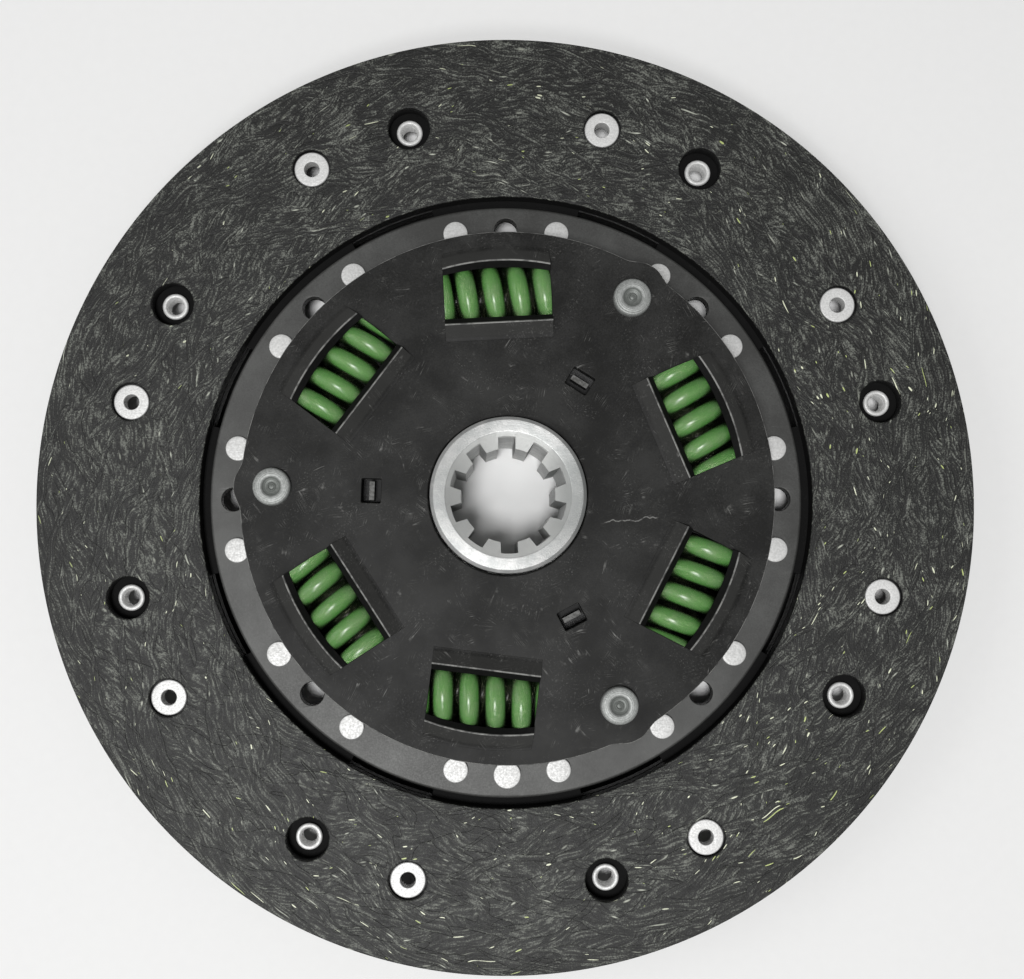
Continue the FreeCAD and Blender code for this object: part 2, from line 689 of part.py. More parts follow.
def cover_plate(label):
    """The front plate: a lobe round each stop pin, windows with lips, and slots for the washer's tabs."""
    body = new_body(label)
    blank = new_sketch(body, label + "_blank", "XY_Plane", offset=cover_rear)
    hole(blank, cover_bore * 2)
    tip = dim("lobe_half_angle")
    base = dim("lobe_half_angle") + dim("lobe_blend_angle")
    corners = []
    for number in range(int(dim("pin_count").value)):
        lobe = pin_clock + pin_step * number
        corners.append(on_clock(cover_outer, lobe - base))
        corners.append((*on_clock(lobe_outer, lobe - tip), Arc(lobe_outer)))
        corners.append(on_clock(lobe_outer, lobe + tip))
        corners.append((*on_clock(cover_outer, lobe + base), Arc(cover_outer)))
    outline(blank, corners)
    extrude(body, "Pad", blank, dim("plate_thickness"))
    cuts = [pin_holes(body, label)]
    cuts += window_and_lips(body, label + "_first", first_window, cover_rear, cover_front, 1)
    cuts += window_and_lips(body, label + "_second", second_window, cover_rear, cover_front, 1)
    slot = new_sketch(body, label + "_slot", "XY_Plane", turn=-pin_clock)
    rectangle(slot, -dim("slot_width") / 2, dim("slot_width") / 2,
              tab_circle - dim("slot_height") / 2, tab_circle + dim("slot_height") / 2)
    cuts.append(extrude(body, "Pocket", slot, through, both_ways=True))
    repeat(body, cuts, dim("pin_count"))
    return body


def stop_pin(label, clock):
    """A stepped pin that joins the plates. Its body between them stops the hub's flange."""
    body = new_body(label)
    head = dim("pin_head_diameter") / 2
    shank = dim("pin_shank_diameter") / 2
    shoulder = dim("pin_shoulder_diameter") / 2
    height = dim("pin_head_height")
    step = dim("pin_head_step")
    dimple = dim("pin_dimple_diameter") / 2
    front = cover_front + height
    rear = carrier_rear - height
    section = new_sketch(body, label + "_section", "XZ_Plane")
    outline(section, [
        (nothing, front - step * 2),
        (dimple, front - step),
        (dimple + step, front - step / 2),
        (head - step * 3, front),
        (head - step, front - step / 2),
        (head, front - step * 2),
        (head, cover_front),
        (shank, cover_front),
        (shank, cover_rear),
        (shoulder, cover_rear),
        (shoulder, carrier_front),
        (shank, carrier_front),
        (shank, carrier_rear),
        (head, carrier_rear),
        (head, rear + step),
        (head - step, rear),
        (nothing, rear),
    ])
    revolve(body, "Revolution", section)
    x, y = on_clock(pin_circle, clock)
    body.Placement = FreeCAD.Placement(FreeCAD.Vector(x.value, y.value, 0), FreeCAD.Rotation())
    body.setExpression("Placement.Base.x", x.text)
    body.setExpression("Placement.Base.y", y.text)
    return body


def hub(label):
    """The splined barrel and its flange, with spring windows and notches that clear the stop pins."""
    body = new_body(label)
    barrel = dim("hub_outer_radius")
    edge = dim("hub_edge_break")
    crown = dim("spline_minor_radius")
    section = new_sketch(body, label + "_section", "XZ_Plane")
    outline(section, [
        (crown, hub_rear),
        (barrel - edge, hub_rear),
        (barrel, hub_rear + edge),
        (barrel, flange_rear),
        (flange_outer, flange_rear),
        (flange_outer, flange_front),
        (barrel, flange_front),
        (barrel, hub_face - edge),
        (barrel - edge, hub_face),
        (crown, hub_face),
    ])
    revolve(body, "Revolution", section)
    mouth = dim("entry_cone_radius")
    depth = dim("entry_cone_depth")
    for name, face, inward in (("front", hub_face, -1), ("rear", hub_rear, 1)):
        cone = new_sketch(body, label + "_" + name + "_cone", "XZ_Plane")
        outline(cone, [
            (crown, face),
            (mouth, face),
            (crown, face + depth * inward),
        ])
        revolve(body, "Groove", cone)

    half_groove = dim("spline_groove_width") / 2
    bottom = dim("spline_major_radius")
    groove_top = root(bottom * bottom - half_groove * half_groove)
    groove = new_sketch(body, label + "_spline_groove", "XY_Plane", turn=dim("spline_turn_angle"))
    outline(groove, [
        (-half_groove, crown - dim("cut_overrun")),
        (half_groove, crown - dim("cut_overrun")),
        (half_groove, groove_top, Arc(bottom)),
        (-half_groove, groove_top),
    ])
    repeat(body, [extrude(body, "Pocket", groove, through, both_ways=True)], dim("spline_count"))

    coil_room = coil_outer + dim("flange_window_clearance")
    cuts = []
    for name, clock in (("first", first_window), ("second", second_window)):
        opening = new_sketch(body, label + "_" + name + "_window", "XY_Plane", turn=-clock)
        rectangle(opening, -window_half, window_half, spring_circle - coil_room, spring_circle + coil_room)
        cuts.append(extrude(body, "Pocket", opening, through, both_ways=True))
    keep_off = dim("pin_shoulder_diameter") / 2 + dim("stop_clearance")
    limit = dim("twist_limit_angle")
    floor = pin_circle - dim("pin_shoulder_diameter") / 2 - dim("notch_floor_clearance")

    def notch_corner(reach):
        return reach * sine(limit) + keep_off * cosine(limit), reach * cosine(limit) - keep_off * sine(limit)

    floor_x, floor_y = notch_corner(floor)
    mouth_x, mouth_y = notch_corner(flange_outer + dim("cut_overrun"))
    notch = new_sketch(body, label + "_notch", "XY_Plane", turn=-pin_clock)
    outline(notch, [
        (floor_x, floor_y, Arc(root(floor * floor + keep_off * keep_off))),
        (-floor_x, floor_y),
        (-mouth_x, mouth_y),
        (mouth_x, mouth_y),
    ])
    cuts.append(extrude(body, "Pocket", notch, through, both_ways=True))
    repeat(body, cuts, dim("pin_count"))
    return body


def damper_spring(label, clock, crown):
    """A coil spring with ground ends, lying along its window. The crown of one coil faces the cover plate."""
    pitch = dim("spring_pitch")
    turns = dim("spring_turn_count")
    length = dim("window_width") - dim("spring_end_clearance") * 2
    blank_start = -pitch * turns / 2 - crown
    coil = doc.addObject("Part::Helix", label + "_coil")
    coil.setExpression("Pitch", pitch.text)
    coil.setExpression("Height", (pitch * turns).text)
    coil.setExpression("Radius", coil_radius.text)
    coil.setExpression("Placement.Base.z", blank_start.text)
    wire = doc.addObject("Part::Circle", label + "_wire")
    wire.setExpression("Radius", (dim("spring_wire_diameter") / 2).text)
    wire.Placement = FreeCAD.Placement(
        FreeCAD.Vector(coil_radius.value, 0, blank_start.value),
        FreeCAD.Rotation(FreeCAD.Vector(1, 0, 0), 90))
    wire.setExpression("Placement.Base.x", coil_radius.text)
    wire.setExpression("Placement.Base.z", blank_start.text)
    doc.recompute()
    blank = doc.addObject("Part::Sweep", label + "_blank")
    blank.Sections = [wire]
    blank.Spine = (coil, ["Edge%d" % (number + 1) for number in range(len(coil.Shape.Edges))])
    blank.Solid = True
    blank.Frenet = True
    ground = doc.addObject("Part::Cylinder", label + "_ground_length")
    ground.setExpression("Radius", dim("spring_outer_diameter").text)
    ground.setExpression("Height", length.text)
    ground.setExpression("Placement.Base.z", (-length / 2).text)
    spring = doc.addObject("Part::Common", label)
    spring.Base = blank
    spring.Tool = ground
    x, y = on_clock(spring_circle, clock)
    spring.setExpression("Placement", "placement(vector(%s; %s; %s); rotation(%s; %s; 0))" % (
        x.text, y.text, spring_height.text, (-clock).text, quarter_back.text))
    doc.recompute()
    return spring


def ring_body(label, inner, outer, low, high):
    body = new_body(label)
    section = new_sketch(body, label + "_section", "XZ_Plane")
    outline(section, [(inner, low), (outer, low), (outer, high), (inner, high)])
    revolve(body, "Revolution", section)
    return body


def rear_friction_ring(label):
    """The ring behind the flange. Three lugs key it to the carrier plate."""
    body = ring_body(label, bush_flange + dim("ring_clearance"), rear_ring_outer, carrier_front, flange_rear)
    x, y = on_clock(tab_circle, pin_clock)
    lug = new_sketch(body, label + "_lug", "XY_Plane", offset=carrier_rear)
    hole(lug, dim("rear_lug_diameter"), x, y)
    repeat(body, [extrude(body, "Pad", lug, dim("plate_thickness"))], dim("pin_count"))
    return body


def guide_bush(label):
    """The bush that keeps the plates central on the hub's rear barrel."""
    body = new_body(label)
    rear = carrier_rear - dim("bush_rear_reach")
    section = new_sketch(body, label + "_section", "XZ_Plane")
    outline(section, [
        (bush_bore, rear),
        (carrier_bore, rear),
        (carrier_bore, carrier_front),
        (bush_flange, carrier_front),
        (bush_flange, flange_rear),
        (bush_bore, flange_rear),
    ])
    revolve(body, "Revolution", section)
    return body


def support_washer(label):
    """The washer whose three bent tabs stand in the cover plate's slots, so that it turns with the plate."""
    outer = tab_circle + dim("support_washer_thickness") / 2
    body = ring_body(label, washer_bore, outer, washer_rear, washer_front)
    tab = new_sketch(body, label + "_tab", "XY_Plane", offset=washer_rear, turn=-pin_clock)
    half_width = dim("tab_width") / 2
    rectangle(tab, -half_width, half_width, outer - dim("tab_foot"), outer)
    repeat(body, [extrude(body, "Pad", tab, tab_end - washer_rear)], dim("pin_count"))
    return body


def wave_spring(label):
    """A thin ring pressed into waves, which loads the friction rings between washer and cover plate."""
    thickness = dim("wave_spring_thickness").value
    room = dim("wave_spring_clearance").value
    low = washer_front.value + room
    high = cover_rear.value - room - thickness
    waves = dim("wave_count").value
    samples = POINTS_PER_WAVE * int(round(waves))
    edges = []
    for radius in (washer_bore.value, wave_spring_outer.value):
        points = []
        for number in range(samples):
            angle = 2 * math.pi * number / samples
            height = (low + high) / 2 + (high - low) / 2 * math.cos(waves * angle)
            points.append(FreeCAD.Vector(radius * math.cos(angle), radius * math.sin(angle), height))
        curve = Part.BSplineCurve()
        curve.interpolate(points, PeriodicFlag=True)
        edges.append(curve.toShape())
    ring = doc.addObject("Part::Feature", label)
    ring.Shape = Part.makeRuledSurface(edges[0], edges[1]).extrude(FreeCAD.Vector(0, 0, thickness))
    return ring


# The pieces, in the order in which they are put together

pieces = [hub("hub"), guide_bush("guide_bush"), carrier_plate("carrier_plate")]
for number in range(int(dim("segment_count").value)):
    pieces.append(cushion_segment("cushion_segment_%d" % (number + 1), segment_step * number))
pieces += [
    segment_rivets("segment_rivets"),
    balance_rivet("balance_rivet"),
    rear_friction_ring("rear_friction_ring"),
    ring_body("front_friction_ring", washer_bore, front_ring_outer, flange_front, washer_rear),
    support_washer("support_washer"),
    wave_spring("wave_spring"),
    cover_plate("cover_plate"),
]
for number in range(int(dim("pin_count").value)):
    pieces.append(stop_pin("stop_pin_%d" % (number + 1), pin_clock + pin_step * number))
for number, (alias, _) in enumerate(SPRING_CROWNS):
    pair, place = divmod(number, 2)
    window = (first_window, second_window)[place] + pin_step * pair
    pieces.append(damper_spring("damper_spring_%d" % (number + 1), window, dim(alias)))
pieces += [
    facing("rear_facing", -1),
    facing("front_facing", 1),
    facing_rivets("rear_facing_rivets", -1),
    facing_rivets("front_facing_rivets", 1),
]
for piece in pieces:
    piece.Label = piece.Name
doc.recompute()

for item in doc.Objects:
    if "Invalid" in item.State or "Error" in item.State:
        raise ValueError("%s could not be computed" % item.Name)
for piece in pieces:
    if piece.Shape.isNull() or not piece.Shape.isValid():
        raise ValueError("%s has no valid shape" % piece.Label)

os.makedirs("parts", exist_ok=True)
for piece in pieces:
    piece.Shape.exportStep("parts/%s.step" % piece.Label)
    print(piece.Label, len(piece.Shape.Solids), round(piece.Shape.Volume, 1))
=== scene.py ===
import json
import math

import bmesh
import bpy
from mathutils import Matrix, Vector
from mathutils.geometry import tessellate_polygon

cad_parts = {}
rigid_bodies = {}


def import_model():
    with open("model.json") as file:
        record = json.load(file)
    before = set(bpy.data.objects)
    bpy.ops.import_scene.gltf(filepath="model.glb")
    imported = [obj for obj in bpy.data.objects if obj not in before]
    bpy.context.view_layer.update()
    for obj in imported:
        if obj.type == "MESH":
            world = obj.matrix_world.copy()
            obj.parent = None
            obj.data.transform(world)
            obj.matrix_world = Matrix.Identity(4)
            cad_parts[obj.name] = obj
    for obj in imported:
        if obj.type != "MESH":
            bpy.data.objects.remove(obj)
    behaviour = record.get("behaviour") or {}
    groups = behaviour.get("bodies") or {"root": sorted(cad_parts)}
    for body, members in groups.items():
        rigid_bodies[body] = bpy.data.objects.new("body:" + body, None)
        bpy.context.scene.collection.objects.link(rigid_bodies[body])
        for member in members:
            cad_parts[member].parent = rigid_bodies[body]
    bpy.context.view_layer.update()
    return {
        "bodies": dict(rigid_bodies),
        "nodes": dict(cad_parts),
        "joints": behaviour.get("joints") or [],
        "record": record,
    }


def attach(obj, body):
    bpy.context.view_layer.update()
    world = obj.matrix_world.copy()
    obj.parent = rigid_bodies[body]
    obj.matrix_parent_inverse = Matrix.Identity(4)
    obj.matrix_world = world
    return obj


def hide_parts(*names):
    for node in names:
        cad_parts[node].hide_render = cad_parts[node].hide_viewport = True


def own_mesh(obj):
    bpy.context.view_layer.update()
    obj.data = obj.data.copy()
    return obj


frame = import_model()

# Clutch disc, gearbox side up. Shapes are written in millimetres in the CAD frame and scaled once.
# Clock angles run clockwise from +Y, as seen from above.

MM = 0.001

# Sizes that the shown pieces share with the solids, in millimetres and degrees

FACING_OUTER = 120.0
FACING_INNER = 78.4
FACING_MIDDLE = (FACING_OUTER + FACING_INNER) / 2
FACING_LOW = 0.65
FACING_HIGH = 4.55
RIVET_CIRCLE = 99.55
RIVET_HALF_ANGLE = 14.6
SEAT_RADIUS = 4.9
SEAT_DEPTH = 1.9
TAIL_HOLE_RADIUS = 5.45
RIVET_SHANK_RADIUS = 2.4
RIVET_BORE_RADIUS = 1.95
RIVET_HEAD_RADIUS = 4.5
RIVET_HEAD_THICKNESS = 0.9
RIVET_TAIL_RADIUS = 3.4
RIVET_TAIL_HEIGHT = 1.2
SEGMENT_COUNT = 8
SEGMENT_BACK = 0.05
SEGMENT_REAR = 0.35
SOLID_CIRCLE = 70.0
SOLID_HALF_ANGLE = 10.74
SOLID_HEAD_RADIUS = 3.15
SOLID_CLOSING_RADIUS = 3.5
SOLID_SHANK_RADIUS = 2.2
SOLID_HEAD_HEIGHT = 1.0
SOLID_CLOSING_HEIGHT = 1.1
BALANCE_HOLE_RADIUS = 3.0
BALANCE_HEAD_RADIUS = 3.45
CARRIER_REAR = 0.35
CARRIER_FRONT = 3.35
CARRIER_OUTER = 75.95
CARRIER_BORE = 21.0
COVER_REAR = 14.0
COVER_FRONT = 17.0
COVER_OUTER = 65.8
COVER_BORE = 19.6
LOBE_OUTER = 67.5
LOBE_HALF_ANGLE = 0.6
LOBE_BLEND_ANGLE = 5.2
PLATE_THICKNESS = 3.0
PIN_CIRCLE = 57.9
PIN_CLOCK = 32.2
PIN_HOLE_RADIUS = 3.3
PIN_HEAD_RADIUS = 4.65
PIN_HEAD_HEIGHT = 2.2
PIN_BODY_RADIUS = 4.6
WINDOW_SPACING = 35.0
WINDOW_HALF_WIDTH = 13.35
WINDOW_INNER = 42.8
WINDOW_OUTER = 58.2
LIP_RUN = 4.0
LIP_RISE = 2.2
LIP_ROOM = 10.8
TAB_CIRCLE = 33.6
LUG_HOLE_RADIUS = 2.1
SLOT_HALF_WIDTH = 3.0
SLOT_HALF_HEIGHT = 2.4
SPRING_CIRCLE = 50.5
SPRING_HEIGHT = 8.675
SPRING_RADIUS = 10.65
SPRING_PITCH = 6.45
SPRING_HALF_LENGTH = 13.25
WIRE_RADIUS = 2.5
HUB_OUTER = 19.1
HUB_FACE = 21.7
HUB_REAR = -9.3
FLANGE_REAR = 5.35
FLANGE_FRONT = 11.35
FLANGE_OUTER = 65.4
SPLINE_MAJOR = 14.3
SPLINE_MINOR = 11.55
SPLINE_COUNT = 10
SPLINE_TURN = 1.3
GROOVE_HALF_WIDTH = 2.1
CONE_MOUTH = 15.3
CONE_DEPTH = 3.2
TWIST_LIMIT = 6.0

# Sizes of the shown pieces alone

FACING_EDGE = 0.35
HOLE_EDGE = 0.3
LIP_SIDE_GAP = 0.01
LIP_NOSE = 0.3
LIP_BEND_SHARE = 0.35
SPRING_TURNS = 3.5
SPRING_CROWNS = (-1.05, 0.6, 2.1, -3.2, 0.5, 2.6)
CLOSED_START = 9.3
CLOSED_SHARE = 0.9
COIL_ROOM = 0.45
TILT_ROOM = 0.7
NOTCH_ROOM = 0.25
NOTCH_FLOOR_ROOM = 0.8

# A rolled rivet end from the shank round to the bore, as (place from its rim, height above its end)

ROLLED_END = ((-0.35, 1.18), (-0.05, 0.9), (0.0, 0.6), (-0.06, 0.25), (-0.25, 0.05), (-0.45, 0.0),
              (-0.85, 0.01), (-1.0, 0.08), (-1.1, 0.25), (-1.3, 0.6))

# A stop pin's head from its axis out, as (radius, height from its top)

PIN_HEAD = ((0.02, -0.62), (0.25, -0.66), (0.5, -0.72), (0.62, -0.78), (0.72, -0.62), (0.88, -0.52),
            (1.02, -0.58), (1.15, -0.72), (1.6, -0.62), (2.15, -0.4), (2.35, -0.16), (2.5, -0.04),
            (2.9, 0.0), (3.6, -0.03), (3.85, -0.08), (3.93, -0.2), (4.03, -0.2), (4.1, -0.1),
            (4.28, -0.16), (4.45, -0.3), (4.58, -0.55), (PIN_HEAD_RADIUS, -0.95))

# Steps of the meshes, and the numbers of a plate's second and third material

EDGE_STEPS = 3
DOME_STEPS = 4
RING_STEPS = 360
HOLE_STEPS = 48
COVER_STEPS = 720
BORE_STEPS = 128
PIN_STEPS = 72
MIDDLE_STEPS = 32
SOLID_STEPS = 40
SMALL_STEPS = 24
BARREL_STEPS = 96
FLANGE_STEPS = 48
NOTCH_STEPS = 12
LIP_STATIONS = 24
LIP_STEPS = 12
NOSE_STEPS = 3
COIL_STEPS = 56
WIRE_STEPS = 28
BARE = 1
# The third material is painted shade, on the lips' ends and undersides
PAINTED_SHADE_SLOT = 2

# Yarn of the friction rings, in millimetres

FIBRE_WIDTH = 0.6
FIBRE_LENGTH = 2.4
YARN_DRIFT = 13.0
YARN_SPREAD = 23.0
YARN_CURVE = 2.3
CROSSING_LEAN = 0.5
BUNDLE_SCALE = (0.1, 0.1, 0.12)

# Colours in linear light

# Black for painted shade, on the walls of the friction rings' holes and gap and on the cushion segments
BLACK = (0.004, 0.004, 0.004)
YARN_GAP = (0.004, 0.0042, 0.0036)
YARN = (0.172, 0.18, 0.158)
YARN_CREASE = (0.005, 0.005, 0.0045)
FLECK = (0.52, 0.54, 0.46)
GREEN_BRASS = (0.5, 0.58, 0.22)
PALE_BRASS = (0.8, 0.83, 0.62)
COVER_BLACK = ((0.008, 0.008, 0.0075), (0.028, 0.028, 0.027))
CARRIER_GREY = ((0.046, 0.046, 0.044), (0.08, 0.081, 0.078))
# Painted shade for the cushion segments
SHEET_PAINTED_SHADE = (BLACK, (0.006, 0.006, 0.006))
# Painted light for the cover's raised lips
LIP_PAINTED_LIGHT = CARRIER_GREY[0]
SCRATCH = (0.2, 0.2, 0.19)
RUBBED = ((0.07, 0.07, 0.068), (0.22, 0.22, 0.21))
# Painted shade for the lips' ends and undersides
LIP_END_SHADE = ((0.003, 0.003, 0.003), (0.01, 0.01, 0.01))
TAB_END = ((0.07, 0.07, 0.066), (0.15, 0.15, 0.145))
WASHER_BLACK = (0.006, 0.006, 0.006)
HOLLOW_ZINC = ((0.6, 0.6, 0.59), (0.74, 0.74, 0.73))
SOLID_ZINC = ((0.54, 0.54, 0.53), (0.64, 0.64, 0.63))
HEADED_BORE = (0.68, 0.68, 0.67)
# Painted light inside the rolled ends' bores, which lie in shade
ROLLED_BORE_LIGHT = (0.96, 0.96, 0.95)
PIN_STEEL = ((0.25, 0.26, 0.25), (0.36, 0.37, 0.36))
PIN_GROOVE = (0.18, 0.19, 0.18)
PIN_DISH = (0.1, 0.11, 0.1)
HUB_STEEL = ((0.36, 0.37, 0.365), (0.52, 0.52, 0.51))
HUB_GRIT = (0.27, 0.28, 0.27)
# Painted light in the hub's cones, and painted shade at the left and right of its face
HUB_CONE_LIGHT = (0.8, 0.81, 0.79)
HUB_SIDE_SHADE = (0.22, 0.23, 0.225)
FLANGE_BLACK = (0.01, 0.01, 0.01)
PAINT = ((0.058, 0.215, 0.04), (0.13, 0.33, 0.084))
PAINT_CLOUD = (0.13, 0.25, 0.1)
# Painted shade for the coils' flanks
PAINT_FLANK_SHADE = (0.006, 0.012, 0.005)
PAINT_SHINE = (1.0, 1.0, 0.68, 1.0)
PLASTIC = ((0.03, 0.03, 0.028), (0.045, 0.043, 0.04))
PAPER = ((0.825, 0.825, 0.82), (0.85, 0.85, 0.845))
PAPER_SHADE = (0.02, 0.02, 0.02)

# Camera, fitted to the disc's concentric circles, and studio

CAMERA_PLACE = (-8.25, -20.24, 326.62)
CAMERA_AXES = ((0.99997, -0.00126, 0.00782), (0.00085, 0.99868, 0.05134), (-0.00787, -0.05133, 0.99865))
CAMERA_LENS = 44.37
CAMERA_SHIFT = (0.0271, 0.0233)
FLOOR_RADIUS = 2500.0
SKY_STRENGTH = 0.17


def on_clock(radius, clock):
    angle = math.radians(clock)
    return Vector((radius * math.sin(angle), radius * math.cos(angle), 0.0))


def segment_clocks():
    return [number * 360 / SEGMENT_COUNT for number in range(SEGMENT_COUNT)]


def pin_clocks():
    return [PIN_CLOCK + 120 * number for number in range(3)]


def window_clocks():
    return [clock + WINDOW_SPACING * way for clock in pin_clocks() for way in (-1, 1)]


# Mesh building

class Shape:
    """Points in millimetres and faces, gathered for one mesh."""

    def __init__(self):
        self.points = []
        self.faces = []
        self.marks = {}

    def loop(self, points):
        start = len(self.points)
        self.points += [Vector(point) for point in points]
        return list(range(start, len(self.points)))

    def bridge(self, first, second, marks=None):
        """Faces between two closed loops. The marks give the material number at some places along them."""
        count = len(first)
        for number in range(count):
            following = (number + 1) % count
            if marks and number in marks:
                self.marks[len(self.faces)] = marks[number]
            self.faces.append((first[number], first[following], second[following], second[number]))

    def loft(self, loops, round_again=False, marks=None):
        for number in range(len(loops) - 1):
            self.bridge(loops[number], loops[number + 1], marks)
        if round_again:
            self.bridge(loops[-1], loops[0])

    def cap(self, loops):
        """Flat faces inside the first loop and outside the others."""
        indices = [index for loop in loops for index in loop]
        outlines = [[self.points[index] for index in loop] for loop in loops]
        for triangle in tessellate_polygon(outlines):
            self.faces.append(tuple(indices[corner] for corner in triangle))

    def close(self, ends):
        """The two flat sides of a sheet, inside its first wall and outside the others."""
        self.cap([end[0] for end in ends])
        self.cap([end[1] for end in ends])

    def lathe(self, profile, centre=(0.0, 0.0), steps=64):
        """A turned form about an upright axis. The profile is a list of (radius, height)."""
        loops = []
        for radius, height in profile:
            loops.append(self.loop(circle(radius, height, steps, centre)))
        self.loft(loops, round_again=True)

    def turn_over(self):
        for point in self.points:
            point.z = -point.z

    def piece(self, name, material, smooth_below=40.0, others=()):
        """The finished object, with smooth faces but for edges sharper than the given angle."""
        mesh = bpy.data.meshes.new(name)
        mesh.from_pydata([point * MM for point in self.points], [], self.faces)
        for own in (material, *others):
            mesh.materials.append(own)
        for face, number in self.marks.items():
            mesh.polygons[face].material_index = number
        work = bmesh.new()
        work.from_mesh(mesh)
        bmesh.ops.remove_doubles(work, verts=work.verts, dist=0.002 * MM)
        bmesh.ops.recalc_face_normals(work, faces=work.faces)
        work.to_mesh(mesh)
        work.free()
        mesh.shade_smooth()
        mesh.set_sharp_from_angle(angle=math.radians(smooth_below))
        made = add_object(name, mesh)
        weighting = made.modifiers.new("flat faces stay flat", "WEIGHTED_NORMAL")
        weighting.keep_sharp = True
        return made


def add_object(name, data):
    made = bpy.data.objects.new(name, data)
    bpy.context.collection.objects.link(made)
    return made


def circle(radius, height=0.0, steps=64, centre=(0.0, 0.0)):
    points = []
    for number in range(steps):
        angle = 2 * math.pi * number / steps
        x = centre[0] + radius * math.cos(angle)
        y = centre[1] + radius * math.sin(angle)
        points.append(Vector((x, y, height)))
    return points


def offset(outline, distance):
    """The outline moved towards its inside by a distance. It runs anticlockwise."""
    moved = []
    for number, point in enumerate(outline):
        before = (point - outline[number - 1]).xy.normalized()
        after = (outline[(number + 1) % len(outline)] - point).xy.normalized()
        first = Vector((-before.y, before.x))
        second = Vector((-after.y, after.x))
        step = (first + second) / (1 + first.dot(second))
        moved.append(point + Vector((step.x, step.y, 0.0)) * distance)
    return moved


def at_height(outline, height):
    return [Vector((point.x, point.y, height)) for point in outline]


def turned(outline, clock):
    spin = Matrix.Rotation(-math.radians(clock), 3, "Z")
    return [spin @ point for point in outline]


def wall(shape, outline, low, high, low_edge=0.0, high_edge=0.0, hole=False, worn=False):
    """An upright wall along an outline, with rounded edges. It gives the loops at its two ends."""
    way = -1 if hole else 1
    lower = []
    upper = []
    for number in range(EDGE_STEPS if low_edge else 0):
        angle = math.pi / 2 * number / EDGE_STEPS
        inward = low_edge * (1 - math.sin(angle))
        height = low + low_edge * (1 - math.cos(angle))
        lower.append(shape.loop(at_height(offset(outline, inward * way), height)))
    lower.append(shape.loop(at_height(outline, low + low_edge)))
    upper.append(shape.loop(at_height(outline, high - high_edge)))
    for number in range(1, EDGE_STEPS + 1 if high_edge else 1):
        angle = math.pi / 2 * number / EDGE_STEPS
        inward = high_edge * (1 - math.cos(angle))
        height = high - high_edge * (1 - math.sin(angle))
        upper.append(shape.loop(at_height(offset(outline, inward * way), height)))
    shape.loft(lower + upper[:1])
    shape.loft(upper, marks=dict.fromkeys(range(len(outline)), BARE) if worn else None)
    return lower[0], upper[-1]


def round_hole(shape, radius, place, low, high, steps, low_edge=0.0, high_edge=0.0):
    return wall(shape, circle(radius, 0.0, steps, place), low, high, low_edge, high_edge, hole=True)


def box_outline(half_width, low, high, corner=0.3):
    """A rectangle with rounded corners, anticlockwise, lying across the +Y direction."""
    right = half_width - corner
    bottom = low + corner
    top = high - corner
    points = []
    for x, y, start in ((right, bottom, -90), (right, top, 0), (-right, top, 90), (-right, bottom, 180)):
        for number in range(EDGE_STEPS + 1):
            angle = math.radians(start + 90 * number / EDGE_STEPS)
            points.append(Vector((x + corner * math.cos(angle), y + corner * math.sin(angle), 0.0)))
    return points


def settle(made, node):
    """Hide the solid of the disc that a piece replaces, and hang the piece on the disc's body."""
    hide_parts(node)
    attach(made, "disc")


# Spring windows and their lips

def lip_places():
    """Places across a window at which its lips are drawn."""
    half = WINDOW_HALF_WIDTH - LIP_SIDE_GAP
    return [half * (2 * number / LIP_STATIONS - 1) for number in range(LIP_STATIONS + 1)]


def window_opening(shape, clock, low, high):
    """The opening of a window up to its lips, without walls where the lips go on."""
    inner = WINDOW_INNER - LIP_RUN
    outer = WINDOW_OUTER + LIP_RUN
    across = [-WINDOW_HALF_WIDTH] + lip_places() + [WINDOW_HALF_WIDTH]
    outline = [Vector((x, inner, 0.0)) for x in across]
    outline += [Vector((x, math.sqrt(outer ** 2 - x ** 2), 0.0)) for x in reversed(across)]
    outline = turned(outline, clock)
    bottom = shape.loop(at_height(outline, low))
    top = shape.loop(at_height(outline, high))
    for number in range(len(outline)):
        following = (number + 1) % len(outline)
        if not 1 <= number % len(across) <= LIP_STATIONS:
            shape.faces.append((bottom[number], bottom[following], top[following], top[number]))
    return bottom, top


def lip_bend(inner):
    """The upper side of a lip's section as (radial place, height above the plate's rear), and its normals."""
    scale = LIP_RISE / (1 - LIP_BEND_SHARE / 2)
    edge = WINDOW_INNER if inner else WINDOW_OUTER
    way = 1 if inner else -1
    points = []
    normals = []
    for number in range(LIP_STEPS + 1):
        share = number / LIP_STEPS
        bent = min(share, LIP_BEND_SHARE)
        rise = scale * (bent * bent / (2 * LIP_BEND_SHARE) + share - bent)
        slope = scale * bent / LIP_BEND_SHARE / LIP_RUN
        points.append(Vector((edge - way * LIP_RUN * (1 - share), PLATE_THICKNESS + rise)))
        normals.append(Vector((-way * slope, 1.0)).normalized())
    return points, normals


def lip_section(inner):
    """The whole section, once round from the root: upper side, rounded nose and lower side."""
    way = 1 if inner else -1
    upper, normals = lip_bend(inner)
    along = Vector((-normals[-1].y, normals[-1].x)) * -way
    lower = [point - normal * PLATE_THICKNESS for point, normal in zip(upper, normals)]
    turn = [math.pi / 2 * number / NOSE_STEPS for number in range(NOSE_STEPS + 1)]
    section = upper[:-1]
    for corner, outward in ((upper[-1], normals[-1]), (lower[-1], -normals[-1])):
        middle = corner - (outward + along) * LIP_NOSE
        arc = [middle + (outward * math.cos(angle) + along * math.sin(angle)) * LIP_NOSE for angle in turn]
        section += arc if corner is upper[-1] else list(reversed(arc))
    section += list(reversed(lower[:-1]))
    return section


def clear_of_coil(y, height, side):
    """A lip's height, pushed away from the coil where it would come too near."""
    off_axis = y - SPRING_CIRCLE
    if abs(off_axis) >= LIP_ROOM:
        return height
    coil = math.sqrt(LIP_ROOM ** 2 - off_axis ** 2)
    return SPRING_HEIGHT + side * max(coil, side * (height - SPRING_HEIGHT))


